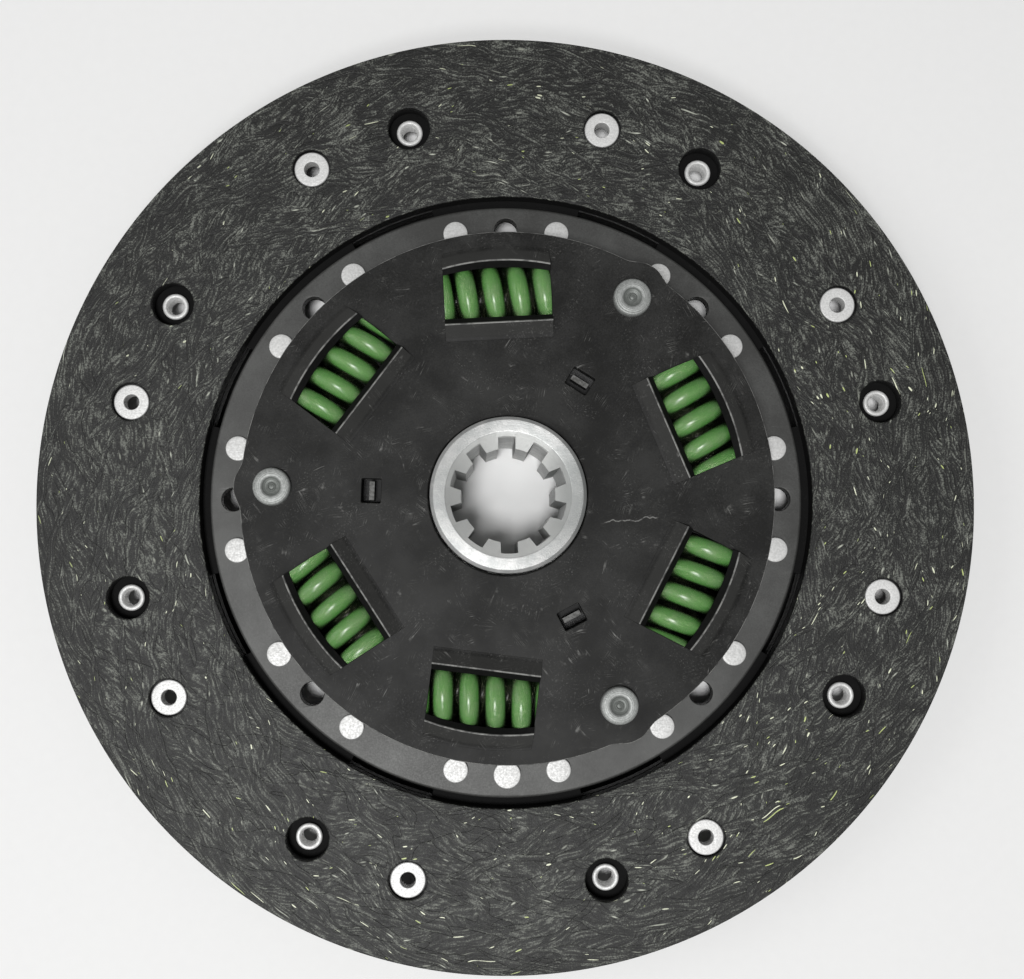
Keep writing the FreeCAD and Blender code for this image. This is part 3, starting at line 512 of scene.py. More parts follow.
def add_lip(shape, clock, inner, base, side):
    """A lip swept across its window, worn bare at its upper corner, with painted shade on its end and
    underside.
    """
    spin = Matrix.Rotation(-math.radians(clock), 3, "Z")
    section = lip_section(inner)
    loops = []
    for x in lip_places():
        points = []
        for radial, rise in section:
            y = radial if inner else math.sqrt(radial ** 2 - x ** 2)
            points.append(spin @ Vector((x, y, clear_of_coil(y, base + side * rise, side))))
        loops.append(shape.loop(points))
    marks = dict.fromkeys(range(LIP_STEPS, LIP_STEPS + NOSE_STEPS), BARE)
    marks.update(dict.fromkeys(range(LIP_STEPS + NOSE_STEPS, len(section)), PAINTED_SHADE_SLOT))
    shape.loft(loops, marks=marks)
    shape.faces.append(tuple(loops[0]))
    shape.faces.append(tuple(loops[-1]))


def add_windows(shape, low, high, base, side):
    """All six windows of a plate. The lips stand off its base towards one side."""
    ends = []
    for clock in window_clocks():
        ends.append(window_opening(shape, clock, low, high))
        add_lip(shape, clock, True, base, side)
        add_lip(shape, clock, False, base, side)
    return ends


# Friction rings and their rivets

def stepped_hole(shape, place):
    """A hole with a seat for a rivet's head."""
    seat = FACING_HIGH - SEAT_DEPTH
    floor, rim = round_hole(shape, SEAT_RADIUS, place, seat, FACING_HIGH, HOLE_STEPS, 0.0, HOLE_EDGE)
    under, over = round_hole(shape, RIVET_SHANK_RADIUS, place, FACING_LOW, seat, HOLE_STEPS)
    shape.bridge(floor, over)
    return under, rim


def friction_ring(name, node, side, material):
    """A ring with a stepped hole for each rivet head, and a plain one round each rolled end."""
    shape = Shape()
    low, high = FACING_LOW, FACING_HIGH
    ends = []
    for radius, hole in ((FACING_OUTER, False), (FACING_INNER, True)):
        ends.append(wall(shape, circle(radius, steps=RING_STEPS), low, high, 0.0, FACING_EDGE, hole))
    for clock in segment_clocks():
        ends.append(stepped_hole(shape, on_clock(RIVET_CIRCLE, clock + RIVET_HALF_ANGLE * side)))
        place = on_clock(RIVET_CIRCLE, clock - RIVET_HALF_ANGLE * side)
        ends.append(round_hole(shape, TAIL_HOLE_RADIUS, place, low, high, HOLE_STEPS, 0.0, HOLE_EDGE))
    shape.close(ends)
    if side < 0:
        shape.turn_over()
    settle(shape.piece(name, material), node)


def hollow_rivet_profile():
    """A flat head with a bore, and an end rolled over into a cup on the other side."""
    seat = FACING_HIGH - SEAT_DEPTH
    head = seat + RIVET_HEAD_THICKNESS
    back = -SEGMENT_BACK
    tail = back - RIVET_TAIL_HEIGHT
    bore = RIVET_BORE_RADIUS
    edge = RIVET_HEAD_RADIUS
    profile = [(bore, back), (bore, head - 0.25), (bore + 0.08, head - 0.08), (bore + 0.22, head)]
    profile += [(edge - 0.3, head), (edge - 0.08, head - 0.09), (edge, head - 0.3), (edge, seat)]
    profile += [(RIVET_SHANK_RADIUS, seat), (RIVET_SHANK_RADIUS, back)]
    profile += [(RIVET_TAIL_RADIUS + place, tail + height) for place, height in ROLLED_END]
    profile.append((bore, tail + 1.1))
    return profile


def hollow_rivets(name, node, side, material):
    shape = Shape()
    for clock in segment_clocks():
        place = on_clock(RIVET_CIRCLE, clock + RIVET_HALF_ANGLE * side)
        shape.lathe(hollow_rivet_profile(), place, HOLE_STEPS)
    if side < 0:
        shape.turn_over()
    settle(shape.piece(name, material, 50), node)


def domed_profile(radius, low, high, rounding, dome):
    """The outside of a rivet head from its rim inward, as (radius, height)."""
    profile = [(radius - 0.05, low), (radius, low + (high - low) * 0.35)]
    flat = radius - rounding
    for number in range(1, DOME_STEPS + 1):
        angle = math.pi / 2 * number / DOME_STEPS
        profile.append((flat + rounding * math.cos(angle), high - dome - rounding * (1 - math.sin(angle))))
    for number in range(1, DOME_STEPS + 1):
        share = number / DOME_STEPS
        profile.append((flat * (1 - share) + 0.02, high - dome * (1 - share) ** 2))
    return profile


def solid_rivet(shape, place, head_radius, shank_radius, closing_radius):
    """A rivet of the carrier plate and a segment, with a flat head in front and a domed one behind."""
    head = domed_profile(head_radius, CARRIER_FRONT, CARRIER_FRONT + SOLID_HEAD_HEIGHT, 0.22, 0.05)
    closing = domed_profile(closing_radius, SEGMENT_REAR, SEGMENT_REAR + SOLID_CLOSING_HEIGHT, 0.35, 0.2)
    profile = [(shank_radius, CARRIER_FRONT)] + head
    profile += [(radius, -height) for radius, height in reversed(closing)]
    profile.append((shank_radius, -SEGMENT_REAR))
    shape.lathe(profile, place, SOLID_STEPS)


def solid_rivets(material):
    """The sixteen rivets of the segments, and the one that balances the disc."""
    shape = Shape()
    for clock in segment_clocks():
        for way in (1, -1):
            place = on_clock(SOLID_CIRCLE, clock + SOLID_HALF_ANGLE * way)
            solid_rivet(shape, place, SOLID_HEAD_RADIUS, SOLID_SHANK_RADIUS, SOLID_CLOSING_RADIUS)
    settle(shape.piece("headed_segment_rivets", material, 50), "segment_rivets")
    shape = Shape()
    place = on_clock(SOLID_CIRCLE, 180)
    solid_rivet(shape, place, BALANCE_HEAD_RADIUS, BALANCE_HOLE_RADIUS, BALANCE_HEAD_RADIUS)
    settle(shape.piece("headed_balance_rivet", material, 50), "balance_rivet")


# The two pressed plates and their pins

def pressed_carrier(material, others):
    """The rear plate, with its windows, lips, rivet holes and balance holes."""
    shape = Shape()
    low, high = CARRIER_REAR, CARRIER_FRONT
    ends = [wall(shape, circle(CARRIER_OUTER, steps=RING_STEPS), low, high, 0.3, 0.7)]
    ends.append(round_hole(shape, CARRIER_BORE, (0.0, 0.0), low, high, BORE_STEPS))
    ends += add_windows(shape, low, high, high, -1)
    for clock in pin_clocks():
        ends.append(round_hole(shape, PIN_HOLE_RADIUS, on_clock(PIN_CIRCLE, clock), low, high, MIDDLE_STEPS))
        ends.append(round_hole(shape, LUG_HOLE_RADIUS, on_clock(TAB_CIRCLE, clock), low, high, SMALL_STEPS))
    for clock in segment_clocks():
        place = on_clock(SOLID_CIRCLE, clock)
        ends.append(round_hole(shape, BALANCE_HOLE_RADIUS, place, low, high, SOLID_STEPS, 0.15, 0.2))
        for way in (1, -1):
            place = on_clock(SOLID_CIRCLE, clock + SOLID_HALF_ANGLE * way)
            ends.append(round_hole(shape, SOLID_SHANK_RADIUS, place, low, high, SMALL_STEPS))
    shape.close(ends)
    settle(shape.piece("pressed_carrier_plate", material, others=others), "carrier_plate")


def cover_outline():
    """The cover plate's edge, anticlockwise: round, with three lobes that run out smoothly."""
    points = []
    for number in range(COVER_STEPS):
        clock = -360 * number / COVER_STEPS
        reach = COVER_OUTER
        for lobe in pin_clocks():
            away = abs((clock - lobe + 180) % 360 - 180)
            share = min(max((LOBE_HALF_ANGLE + LOBE_BLEND_ANGLE - away) / LOBE_BLEND_ANGLE, 0.0), 1.0)
            reach += (LOBE_OUTER - COVER_OUTER) * share * share * (3 - 2 * share)
        points.append(on_clock(reach, clock))
    return points


def pressed_cover(material, others):
    """The front plate: a flat sheet with three lobes, windows with lips, and slots."""
    shape = Shape()
    low, high = COVER_REAR, COVER_FRONT
    slot = box_outline(SLOT_HALF_WIDTH, TAB_CIRCLE - SLOT_HALF_HEIGHT, TAB_CIRCLE + SLOT_HALF_HEIGHT)
    ends = [wall(shape, cover_outline(), low, high, 0.3, 0.16, worn=True)]
    ends.append(round_hole(shape, COVER_BORE, (0.0, 0.0), low, high, BORE_STEPS, 0.2, 0.4))
    ends += add_windows(shape, low, high, low, 1)
    for clock in pin_clocks():
        ends.append(round_hole(shape, PIN_HOLE_RADIUS, on_clock(PIN_CIRCLE, clock), low, high, MIDDLE_STEPS))
        ends.append(wall(shape, turned(slot, clock), low, high, 0.1, 0.2, True))
    shape.close(ends)
    settle(shape.piece("pressed_cover_plate", material, others=others), "cover_plate")


def stop_pins(material):
    """Three stepped pins with turned rings on their heads."""
    head = COVER_FRONT + PIN_HEAD_HEIGHT
    rear = CARRIER_REAR - PIN_HEAD_HEIGHT
    body = PIN_BODY_RADIUS
    hole = PIN_HOLE_RADIUS
    edge = PIN_HEAD_RADIUS
    profile = [(radius, head + height) for radius, height in PIN_HEAD]
    profile += [(edge, COVER_FRONT), (hole, COVER_FRONT), (hole, COVER_REAR), (body - 0.15, COVER_REAR)]
    profile += [(body, COVER_REAR - 0.15), (body, CARRIER_FRONT + 0.15), (body - 0.15, CARRIER_FRONT)]
    profile += [(hole, CARRIER_FRONT), (hole, CARRIER_REAR), (edge, CARRIER_REAR), (edge, rear + 0.6)]
    profile += [(edge - 0.15, rear + 0.2), (edge - 0.55, rear), (0.02, rear)]
    for number, clock in enumerate(pin_clocks()):
        shape = Shape()
        shape.lathe(profile, on_clock(PIN_CIRCLE, clock), PIN_STEPS)
        node = "stop_pin_%d" % (number + 1)
        settle(shape.piece("turned_" + node, material, 35), node)


# Damper springs

def end_pitch(place):
    """The place of a coil along the spring. The end turns lie closer."""
    beyond = max(abs(place) - CLOSED_START, 0.0)
    return math.copysign(abs(place) - beyond * (1 - CLOSED_SHARE), place)


def wound_coil(crown):
    """A right-handed coil along the X axis, longer than the spring. Its middle turn tops at the crown."""
    coil_radius = SPRING_RADIUS - WIRE_RADIUS
    rise = SPRING_PITCH / (2 * math.pi)
    shape = Shape()
    loops = []
    for step in range(int(2 * SPRING_TURNS * COIL_STEPS) + 1):
        turn = step / COIL_STEPS - SPRING_TURNS
        angle = 2 * math.pi * turn
        out = Vector((0.0, -math.sin(angle), math.cos(angle)))
        along = Vector((rise, -coil_radius * math.cos(angle), -coil_radius * math.sin(angle)))
        across = out.cross(along.normalized())
        middle = Vector((end_pitch(SPRING_PITCH * turn + crown), 0.0, 0.0)) + out * coil_radius
        points = []
        for part in range(WIRE_STEPS):
            wire = 2 * math.pi * part / WIRE_STEPS
            points.append(middle + (out * math.cos(wire) + across * math.sin(wire)) * WIRE_RADIUS)
        loops.append(shape.loop(points))
    shape.loft(loops)
    shape.faces.append(tuple(loops[0]))
    shape.faces.append(tuple(loops[-1]))
    return shape


def grind_ends(work):
    """Cut the coil flat at both ends and fill the cuts."""
    for way in (1, -1):
        geometry = work.verts[:] + work.edges[:] + work.faces[:]
        cut = bmesh.ops.bisect_plane(work, geom=geometry, plane_co=(SPRING_HALF_LENGTH * way, 0, 0),
                                     plane_no=(way, 0, 0), clear_outer=True)
        edges = [item for item in cut["geom_cut"] if isinstance(item, bmesh.types.BMEdge)]
        bmesh.ops.holes_fill(work, edges=edges)


def damper_spring(number, clock, crown, material):
    """A spring along its window's tangent."""
    node = "damper_spring_%d" % number
    spin = Matrix.Rotation(-math.radians(clock), 3, "Z")
    seat = spin @ Vector((0.0, SPRING_CIRCLE, 0.0)) + Vector((0.0, 0.0, SPRING_HEIGHT))
    shape = wound_coil(crown)
    mesh = bpy.data.meshes.new(node)
    mesh.from_pydata(shape.points, [], shape.faces)
    work = bmesh.new()
    work.from_mesh(mesh)
    bmesh.ops.recalc_face_normals(work, faces=work.faces)
    grind_ends(work)
    for vertex in work.verts:
        vertex.co = (spin @ vertex.co + seat) * MM
    work.to_mesh(mesh)
    work.free()
    mesh.shade_smooth()
    mesh.set_sharp_from_angle(angle=math.radians(40))
    mesh.materials.append(material)
    made = add_object("wound_" + node, mesh)
    settle(made, node)
    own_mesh(made)


# Hub

def spline_outline():
    """The inner outline of the barrel, anticlockwise, as (angle, radius)."""
    step = 2 * math.pi / SPLINE_COUNT
    start = math.pi / 2 + math.radians(SPLINE_TURN)
    low = math.asin(GROOVE_HALF_WIDTH / SPLINE_MINOR)
    high = math.asin(GROOVE_HALF_WIDTH / SPLINE_MAJOR)
    depth = SPLINE_MAJOR - SPLINE_MINOR
    flank = [SPLINE_MINOR + depth * share for share in (0.0, 0.5, 1.0)]
    points = []
    for number in range(SPLINE_COUNT):
        middle = start + step * number
        points += [(middle - math.asin(GROOVE_HALF_WIDTH / radius), radius) for radius in flank]
        points += [(middle - high + 2 * high * part / 5, SPLINE_MAJOR) for part in range(1, 5)]
        points += [(middle + math.asin(GROOVE_HALF_WIDTH / radius), radius) for radius in reversed(flank)]
        points += [(middle + low + (step - 2 * low) * part / 6, SPLINE_MINOR) for part in range(1, 6)]
    return points


def broached_hub(material):
    """The barrel with its spline, coned at both mouths, and the flange round it."""
    shape = Shape()
    outline = spline_outline()
    slope = CONE_DEPTH / (CONE_MOUTH - SPLINE_MINOR)

    def ring(radius, height):
        angles = [place[0] for place in outline]
        return shape.loop([(radius * math.cos(angle), radius * math.sin(angle), height) for angle in angles])

    def bore(face, way):
        points = []
        for angle, radius in outline:
            height = face - way * (CONE_MOUTH - radius) * slope
            points.append((radius * math.cos(angle), radius * math.sin(angle), height))
        return shape.loop(points)

    profile = [(CONE_MOUTH, HUB_REAR), (CONE_MOUTH + 0.25, HUB_REAR), (HUB_OUTER - 1.0, HUB_REAR)]
    profile += [(HUB_OUTER - 0.9, HUB_REAR + 0.04), (HUB_OUTER - 0.05, HUB_REAR + 0.85)]
    profile += [(HUB_OUTER, HUB_REAR + 1.0), (HUB_OUTER, FLANGE_REAR), (HUB_OUTER, FLANGE_FRONT)]
    profile += [(HUB_OUTER, HUB_FACE - 1.0), (HUB_OUTER - 0.04, HUB_FACE - 0.8)]
    profile += [(HUB_OUTER - 0.75, HUB_FACE - 0.08), (HUB_OUTER - 0.95, HUB_FACE)]
    profile += [(CONE_MOUTH + 0.3, HUB_FACE), (CONE_MOUTH, HUB_FACE - 0.08)]
    loops = [bore(HUB_REAR, -1)]
    loops += [ring(radius, height) for radius, height in profile]
    loops.append(bore(HUB_FACE, 1))
    shape.loft(loops, round_again=True)
    add_flange(shape)
    made = shape.piece("broached_hub", material, 30)
    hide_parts("hub")
    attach(made, "hub")


def flange_outline():
    """The flange's edge, anticlockwise, with a notch for each stop pin that leaves room for the twist."""
    limit = math.radians(TWIST_LIMIT)
    keep_off = PIN_BODY_RADIUS + NOTCH_ROOM
    floor = PIN_CIRCLE - PIN_BODY_RADIUS - NOTCH_FLOOR_ROOM
    reach = math.sqrt(FLANGE_OUTER ** 2 - keep_off ** 2)

    def notch_side(radius):
        """A place on the notch's side, which lies along the pin at its limit."""
        x = radius * math.sin(limit) + keep_off * math.cos(limit)
        y = radius * math.cos(limit) - keep_off * math.sin(limit)
        return math.degrees(math.atan2(x, y)), math.hypot(x, y)

    floor_angle, floor_radius = notch_side(floor)
    mouth_angle = notch_side(reach)[0]
    outline = []
    for clock in reversed(pin_clocks()):
        for number in range(FLANGE_STEPS + 1):
            back = (120 - 2 * mouth_angle) * number / FLANGE_STEPS
            outline.append(on_clock(FLANGE_OUTER, clock + 120 - mouth_angle - back))
        for number in range(NOTCH_STEPS + 1):
            back = 2 * floor_angle * number / NOTCH_STEPS
            outline.append(on_clock(floor_radius, clock + floor_angle - back))
    return outline


def add_flange(shape):
    """The flange with its spring windows."""
    low, high = FLANGE_REAR, FLANGE_FRONT
    room = SPRING_RADIUS + COIL_ROOM
    window = box_outline(WINDOW_HALF_WIDTH, SPRING_CIRCLE - room - TILT_ROOM, SPRING_CIRCLE + room, 0.4)
    ends = [wall(shape, flange_outline(), low, high, 0.25, 0.25)]
    ends.append(round_hole(shape, HUB_OUTER - 0.5, (0.0, 0.0), low, high, BARREL_STEPS))
    for clock in window_clocks():
        ends.append(wall(shape, turned(window, clock), low, high, 0.2, 0.2, True))
    shape.close(ends)


# Materials

class Finish:
    """A material whose nodes are made and joined by short calls. Lengths in its patterns are millimetres."""

    def __init__(self, name):
        self.material = bpy.data.materials.new(name)
        self.material.use_nodes = True
        self.tree = self.material.node_tree
        self.shader = self.tree.nodes["Principled BSDF"]
        place = self.node("ShaderNodeTexCoord").outputs["Object"]
        self.place = self.vector("SCALE", place, scale=1 / MM)
        self.x, self.y, self.z = self.node("ShaderNodeSeparateXYZ", {0: self.place}).outputs

    def node(self, kind, sockets=None, **settings):
        """A new node with its settings, and with its sockets fed by name or by number."""
        made = self.tree.nodes.new(kind)
        for name, value in settings.items():
            setattr(made, name, value)
        for key, value in (sockets or {}).items():
            self.feed(made.inputs[key], value)
        return made

    def feed(self, socket, value):
        if isinstance(value, bpy.types.NodeSocket):
            self.tree.links.new(value, socket)
        else:
            socket.default_value = value

    def math(self, operation, first, second=0.0):
        return self.node("ShaderNodeMath", {0: first, 1: second}, operation=operation).outputs[0]

    def chain(self, operation, values):
        total = values[0]
        for value in values[1:]:
            total = self.math(operation, total, value)
        return total

    def sum(self, *values):
        return self.chain("ADD", values)

    def product(self, *values):
        return self.chain("MULTIPLY", values)

    def off(self, value, middle=0.0):
        """How far a value is from a middle one."""
        return self.math("ABSOLUTE", self.math("SUBTRACT", value, middle))

    def vector(self, operation, first, second=(0.0, 0.0, 0.0), scale=1.0):
        sockets = {0: first, "Scale": scale} if operation == "SCALE" else {0: first, 1: second}
        made = self.node("ShaderNodeVectorMath", sockets, operation=operation)
        return made.outputs["Value" if operation in ("LENGTH", "DISTANCE", "DOT_PRODUCT") else "Vector"]

    def join(self, x, y, z):
        return self.node("ShaderNodeCombineXYZ", {"X": x, "Y": y, "Z": z}).outputs[0]

    def ease(self, value, low, high, start=0.0, end=1.0):
        """The value from low to high, brought smoothly to the range from start to end."""
        sockets = dict(enumerate((value, low, high, start, end)))
        return self.node("ShaderNodeMapRange", sockets, interpolation_type="SMOOTHSTEP").outputs[0]

    def fade(self, value, low, high):
        """One below the low value and nothing above the high one."""
        return self.ease(value, low, high, 1.0, 0.0)

    def noise(self, place, size=1.0, detail=3.0, rough=0.5):
        sockets = {"Vector": place, "Scale": 1 / size, "Detail": detail, "Roughness": rough}
        return self.node("ShaderNodeTexNoise", sockets).outputs[0]

    def swing(self, place, size, reach, detail=1.0):
        """Noise about zero, with the given whole range."""
        return self.product(self.math("SUBTRACT", self.noise(place, size, detail), 0.5), reach)

    def cells(self, place, size):
        """The distance to the nearest of scattered points, and three random numbers of that point."""
        made = self.node("ShaderNodeTexVoronoi", {"Vector": place, "Scale": 1 / size})
        split = self.node("ShaderNodeSeparateColor", {0: made.outputs["Color"]})
        return made.outputs["Distance"], split.outputs

    def blend(self, kind, share, first, second):
        made = self.node("ShaderNodeMix", data_type=kind)
        sockets = [socket for socket in made.inputs if socket.enabled]
        for socket, value in zip(sockets, (share, first, second)):
            self.feed(socket, value)
        return [socket for socket in made.outputs if socket.enabled][0]

    def mix(self, share, first, second):
        """A colour between two colours."""
        ends = [(*end, 1.0) if isinstance(end, tuple) else end for end in (first, second)]
        return self.blend("RGBA", share, *ends)

    def rounding(self, radius):
        return self.node("ShaderNodeBevel", {"Radius": radius * MM}, samples=6).outputs[0]

    def relief(self, height, depth, normal=None):
        sockets = {"Strength": 1.0, "Distance": depth * MM, "Height": height}
        if normal:
            sockets["Normal"] = normal
        return self.node("ShaderNodeBump", sockets).outputs[0]

    def radius(self):
        return self.vector("LENGTH", self.join(self.x, self.y, 0.0))

    def shade(self, sockets):
        """The material, with sockets of its shader fed by name."""
        for name, value in sockets.items():
            self.feed(self.shader.inputs[name], value)
        return self.material

    def finish(self, colour, rough, metal, normal, specular=0.5):
        return self.shade({"Base Color": colour, "Roughness": rough, "Metallic": metal,
                           "Specular IOR Level": specular, "Normal": normal})


def yarn_frames(f):
    """Three ways for yarn to lie: round the ring, or from edge to edge leaning either way."""
    radius = f.radius()
    reach = f.sum(radius, f.z)  # with the height, so that the layers show on the rims too
    ux = f.math("DIVIDE", f.x, radius)
    uy = f.math("DIVIDE", f.y, radius)
    scale = FACING_MIDDLE / FIBRE_LENGTH
    drifted = f.math("DIVIDE", f.sum(reach, f.swing(f.place, 18.0, YARN_DRIFT)), FIBRE_WIDTH)
    frames = [f.join(f.product(ux, scale), f.product(uy, scale), drifted)]
    share = f.math("DIVIDE", f.math("SUBTRACT", radius, FACING_MIDDLE), YARN_SPREAD)
    share = f.math("MINIMUM", f.math("MAXIMUM", share, -0.98), 0.98)
    bend = f.sum(f.math("DIVIDE", f.math("ARCSINE", share), YARN_CURVE), f.swing(f.place, 12.0, 0.18))
    scale = FACING_MIDDLE * CROSSING_LEAN / FIBRE_WIDTH
    for way in (1, -1):
        turn = f.product(bend, way)
        cos = f.math("COSINE", turn)
        sin = f.math("SINE", turn)
        x = f.math("SUBTRACT", f.product(ux, cos), f.product(uy, sin))
        y = f.sum(f.product(ux, sin), f.product(uy, cos))
        along = f.math("DIVIDE", reach, FIBRE_LENGTH * CROSSING_LEAN)
        frames.append(f.join(f.product(x, scale), f.product(y, scale), along))
    return frames


def yarn_bundles(f):
    """The place in the frame of the bundle on top, and the creases between bundles."""
    place, rising, falling = yarn_frames(f)
    border = None
    for frame, threshold in ((rising, 0.51), (falling, 0.53)):
        bundle = f.noise(f.vector("MULTIPLY", frame, BUNDLE_SCALE), 1.0, 1.0)
        place = f.blend("VECTOR", f.math("GREATER_THAN", bundle, threshold), place, frame)
        off = f.off(bundle, threshold)
        border = f.math("MINIMUM", border, off) if border else off
    return place, f.fade(border, 0.0, 0.008)


def brass_chips(f, place, ground):
    """Chips cut across on the yarn, more of them at the lower right. It gives the colour and their mask."""
    away, (pick, size, tint) = f.cells(f.vector("ADD", place, (31.0, 17.0, 5.0)), 1.5)
    lower_right = f.math("SUBTRACT", f.x, f.y)
    few = f.sum(f.ease(lower_right, -150.0, 120.0, 0.88, 0.72), f.swing(f.place, 18.0, -0.25))
    near = f.math("LESS_THAN", away, f.ease(size, 0.0, 1.0, 0.07, 0.2))
    chip = f.product(f.math("GREATER_THAN", pick, few), near)
    brass = f.mix(f.math("GREATER_THAN", tint, 0.35), GREEN_BRASS, PALE_BRASS)
    shown = f.product(chip, f.ease(lower_right, -150.0, 60.0, 0.7, 1.0))
    return f.mix(shown, ground, brass), chip


def painted_shade_inside(f, colour):
    """The walls of the holes and of the gap are painted black, as painted shade. The outer rim is not."""
    sunk = f.fade(f.off(f.z), FACING_HIGH - 0.45, FACING_HIGH - 0.12)
    inside = f.ease(f.off(f.radius(), FACING_OUTER), 0.5, 0.8)
    return f.mix(f.product(sunk, inside), colour, BLACK)


def friction_lining():
    """Wound yarn pressed in resin, with pale flecks and brass chips."""
    f = Finish("friction_lining")
    place, crease = yarn_bundles(f)
    fibre = f.noise(place, 1.25, 3.0, 0.66)
    speck = f.noise(f.place, 0.42, 2.0, 0.7)
    patch = f.noise(f.place, 7.0, 3.0, 0.6)
    level = f.sum(f.product(f.ease(fibre, 0.36, 0.72), 0.62), f.product(f.ease(speck, 0.36, 0.7), 0.5),
                  f.product(f.math("SUBTRACT", patch, 0.5), 0.9))
    lit = f.ease(level, 0.22, 1.05)
    colour = f.mix(f.product(lit, f.sum(f.product(lit, 0.75), 0.25)), YARN_GAP, YARN)
    colour = f.mix(f.product(crease, 0.4), colour, YARN_CREASE)
    away, chances = f.cells(place, 1.7)
    fleck = f.product(f.ease(chances[0], 0.74, 0.97), f.fade(away, 0.08, 0.3),
                      f.ease(patch, 0.38, 0.6, 0.25, 1.0))
    colour, chip = brass_chips(f, place, f.mix(fleck, colour, FLECK))
    rough = f.blend("FLOAT", chip, f.ease(speck, 0.3, 0.7, 0.5, 0.66), 0.35)
    height = f.sum(fibre, f.product(speck, 0.5), f.product(crease, -0.3))
    return f.finish(painted_shade_inside(f, colour), rough, 0.0, f.relief(height, 0.14), specular=0.44)


def scratches(f):
    """Thin, short scratches in three directions, bunched in patches."""
    total = 0.0
    for number, angle in enumerate((15, 70, 132)):
        cos, sin = math.cos(math.radians(angle)), math.sin(math.radians(angle))
        along = f.vector("DOT_PRODUCT", f.place, (cos, sin, 0.0))
        across = f.vector("DOT_PRODUCT", f.place, (-sin, cos, 0.0))
        bent = f.sum(across, f.product(f.noise(f.place, 14.0, 0.0), 6.0))
        place = f.join(f.math("DIVIDE", along, 16.0), f.math("DIVIDE", bent, 0.5), number * 7.0)
        line = f.fade(f.off(f.noise(place, 1.0, 0.0), 0.5), 0.0, 0.03)
        patch = f.noise(f.vector("ADD", f.place, (number * 40.0, 0.0, 0.0)), 5.0, 3.0, 0.7)
        total = f.math("MAXIMUM", total, f.product(line, f.ease(patch, 0.56, 0.74)))
    return total


def long_scratch(f):
    """One pale, wavering scratch beside the hub."""
    waver = f.swing(f.join(f.x, 0.0, 0.0), 3.0, 3.0, detail=2.0)
    rise = f.product(f.math("SUBTRACT", f.x, 24.0), 0.1)
    off = f.off(f.y, f.sum(waver, rise, -6.6))
    return f.product(f.fade(off, 0.05, 0.22), f.ease(f.x, 22.5, 25.0),
                     f.fade(f.x, 36.5, 37.5),
                     f.ease(f.noise(f.place, 1.2, 2.0), 0.35, 0.6, 0.25, 0.9))


def worn_steel(name, shades, rough, marked, specular, metal=0.0, rounding=0.0):
    """Pressed sheet with a fine grain, cloudy handling marks, dust and thin scratches, and painted light that
    makes the cover's raised lips paler.
    """
    f = Finish(name)
    cloud = f.noise(f.place, 16.0, 4.0, 0.6)
    fine = f.noise(f.place, 0.35, 3.0, 0.7)
    tone = f.sum(cloud, f.product(f.math("SUBTRACT", fine, 0.5), 0.7))
    colour = f.mix(f.ease(tone, 0.3, 0.75), *shades)
    dust = f.product(f.ease(f.noise(f.place, 0.5, 3.0, 0.7), 0.56, 0.72),
                     f.ease(f.noise(f.place, 9.0), 0.45, 0.7))
    mark = f.product(f.math("MAXIMUM", scratches(f), f.product(dust, 0.7)), marked)
    mark = f.math("MAXIMUM", mark, f.product(long_scratch(f), min(marked * 2, 1.0)))
    # Painted light: the cover's lips turn paler as they rise above its face
    lip_painted_light = f.ease(f.z, COVER_FRONT + 0.02, COVER_FRONT + 0.5, 0.0, 0.6)
    colour = f.mix(mark, f.mix(lip_painted_light, colour, LIP_PAINTED_LIGHT), SCRATCH)
    roughness = f.ease(fine, 0.3, 0.7, rough - 0.05, rough + 0.07)
    edge = f.rounding(rounding) if rounding else None
    return f.finish(colour, roughness, metal, f.relief(fine, 0.012, edge), specular)


def rubbed_edge():
    """Bare steel along edges where the black finish is rubbed off, in some places more than in others."""
    f = Finish("rubbed_edge")
    patch = f.noise(f.place, 2.2, 3.0, 0.65)
    return f.finish(f.mix(f.ease(patch, 0.34, 0.62), *RUBBED), 0.5, 0.2, f.relief(patch, 0.05), 0.3)


def plain_finish(name, shades, size, rough, depth, specular=0.5):
    """A surface with one soft mottle."""
    f = Finish(name)
    mottle = f.noise(f.place, size)
    return f.finish(f.mix(mottle, *shades), rough, 0.0, f.relief(mottle, depth), specular)


def tabbed_washer():
    """A dark washer, lighter at the tops of its tabs."""
    f = Finish("washer_steel")
    grain = f.noise(f.place, 0.6)
    colour = f.mix(f.ease(f.z, 16.2, 16.4), WASHER_BLACK, f.mix(f.ease(grain, 0.35, 0.65), *TAB_END))
    return f.finish(colour, 0.5, 0.0, f.relief(grain, 0.02), 0.2)


def off_rivet_axis(f):
    """The distance from the axis of the nearest hollow rivet."""
    folded = f.math("PINGPONG", f.math("ARCTAN2", f.x, f.y), math.pi / SEGMENT_COUNT)
    beside = f.product(f.math("SUBTRACT", folded, math.radians(RIVET_HALF_ANGLE)), RIVET_CIRCLE)
    return f.vector("LENGTH", f.join(beside, f.math("SUBTRACT", f.radius(), RIVET_CIRCLE), 0.0))


def plated_steel(name, shades, bore=None):
    """Zinc plate: pale, matt and slightly mottled. Inside their bores the hollow rivets get one flat colour:
    pale grey in the heads, and a painted light, nearly white, in the rolled ends, whose bores lie in shade.
    """
    f = Finish(name)
    mottle = f.noise(f.place, 0.5, 3.0, 0.6)
    colour = f.mix(f.ease(mottle, 0.35, 0.65), *shades)
    if bore:
        inside = f.fade(off_rivet_axis(f), RIVET_BORE_RADIUS + 0.03, RIVET_BORE_RADIUS + 0.12)
        colour = f.mix(inside, colour, bore)
    brushed = f.noise(f.vector("MULTIPLY", f.place, (0.6, 3.0, 1.0)), 1.0, 3.0, 0.7)
    rough = f.ease(mottle, 0.3, 0.7, 0.58, 0.46)
    return f.finish(colour, rough, 0.3, f.relief(f.sum(mottle, brushed), 0.04), 0.4)


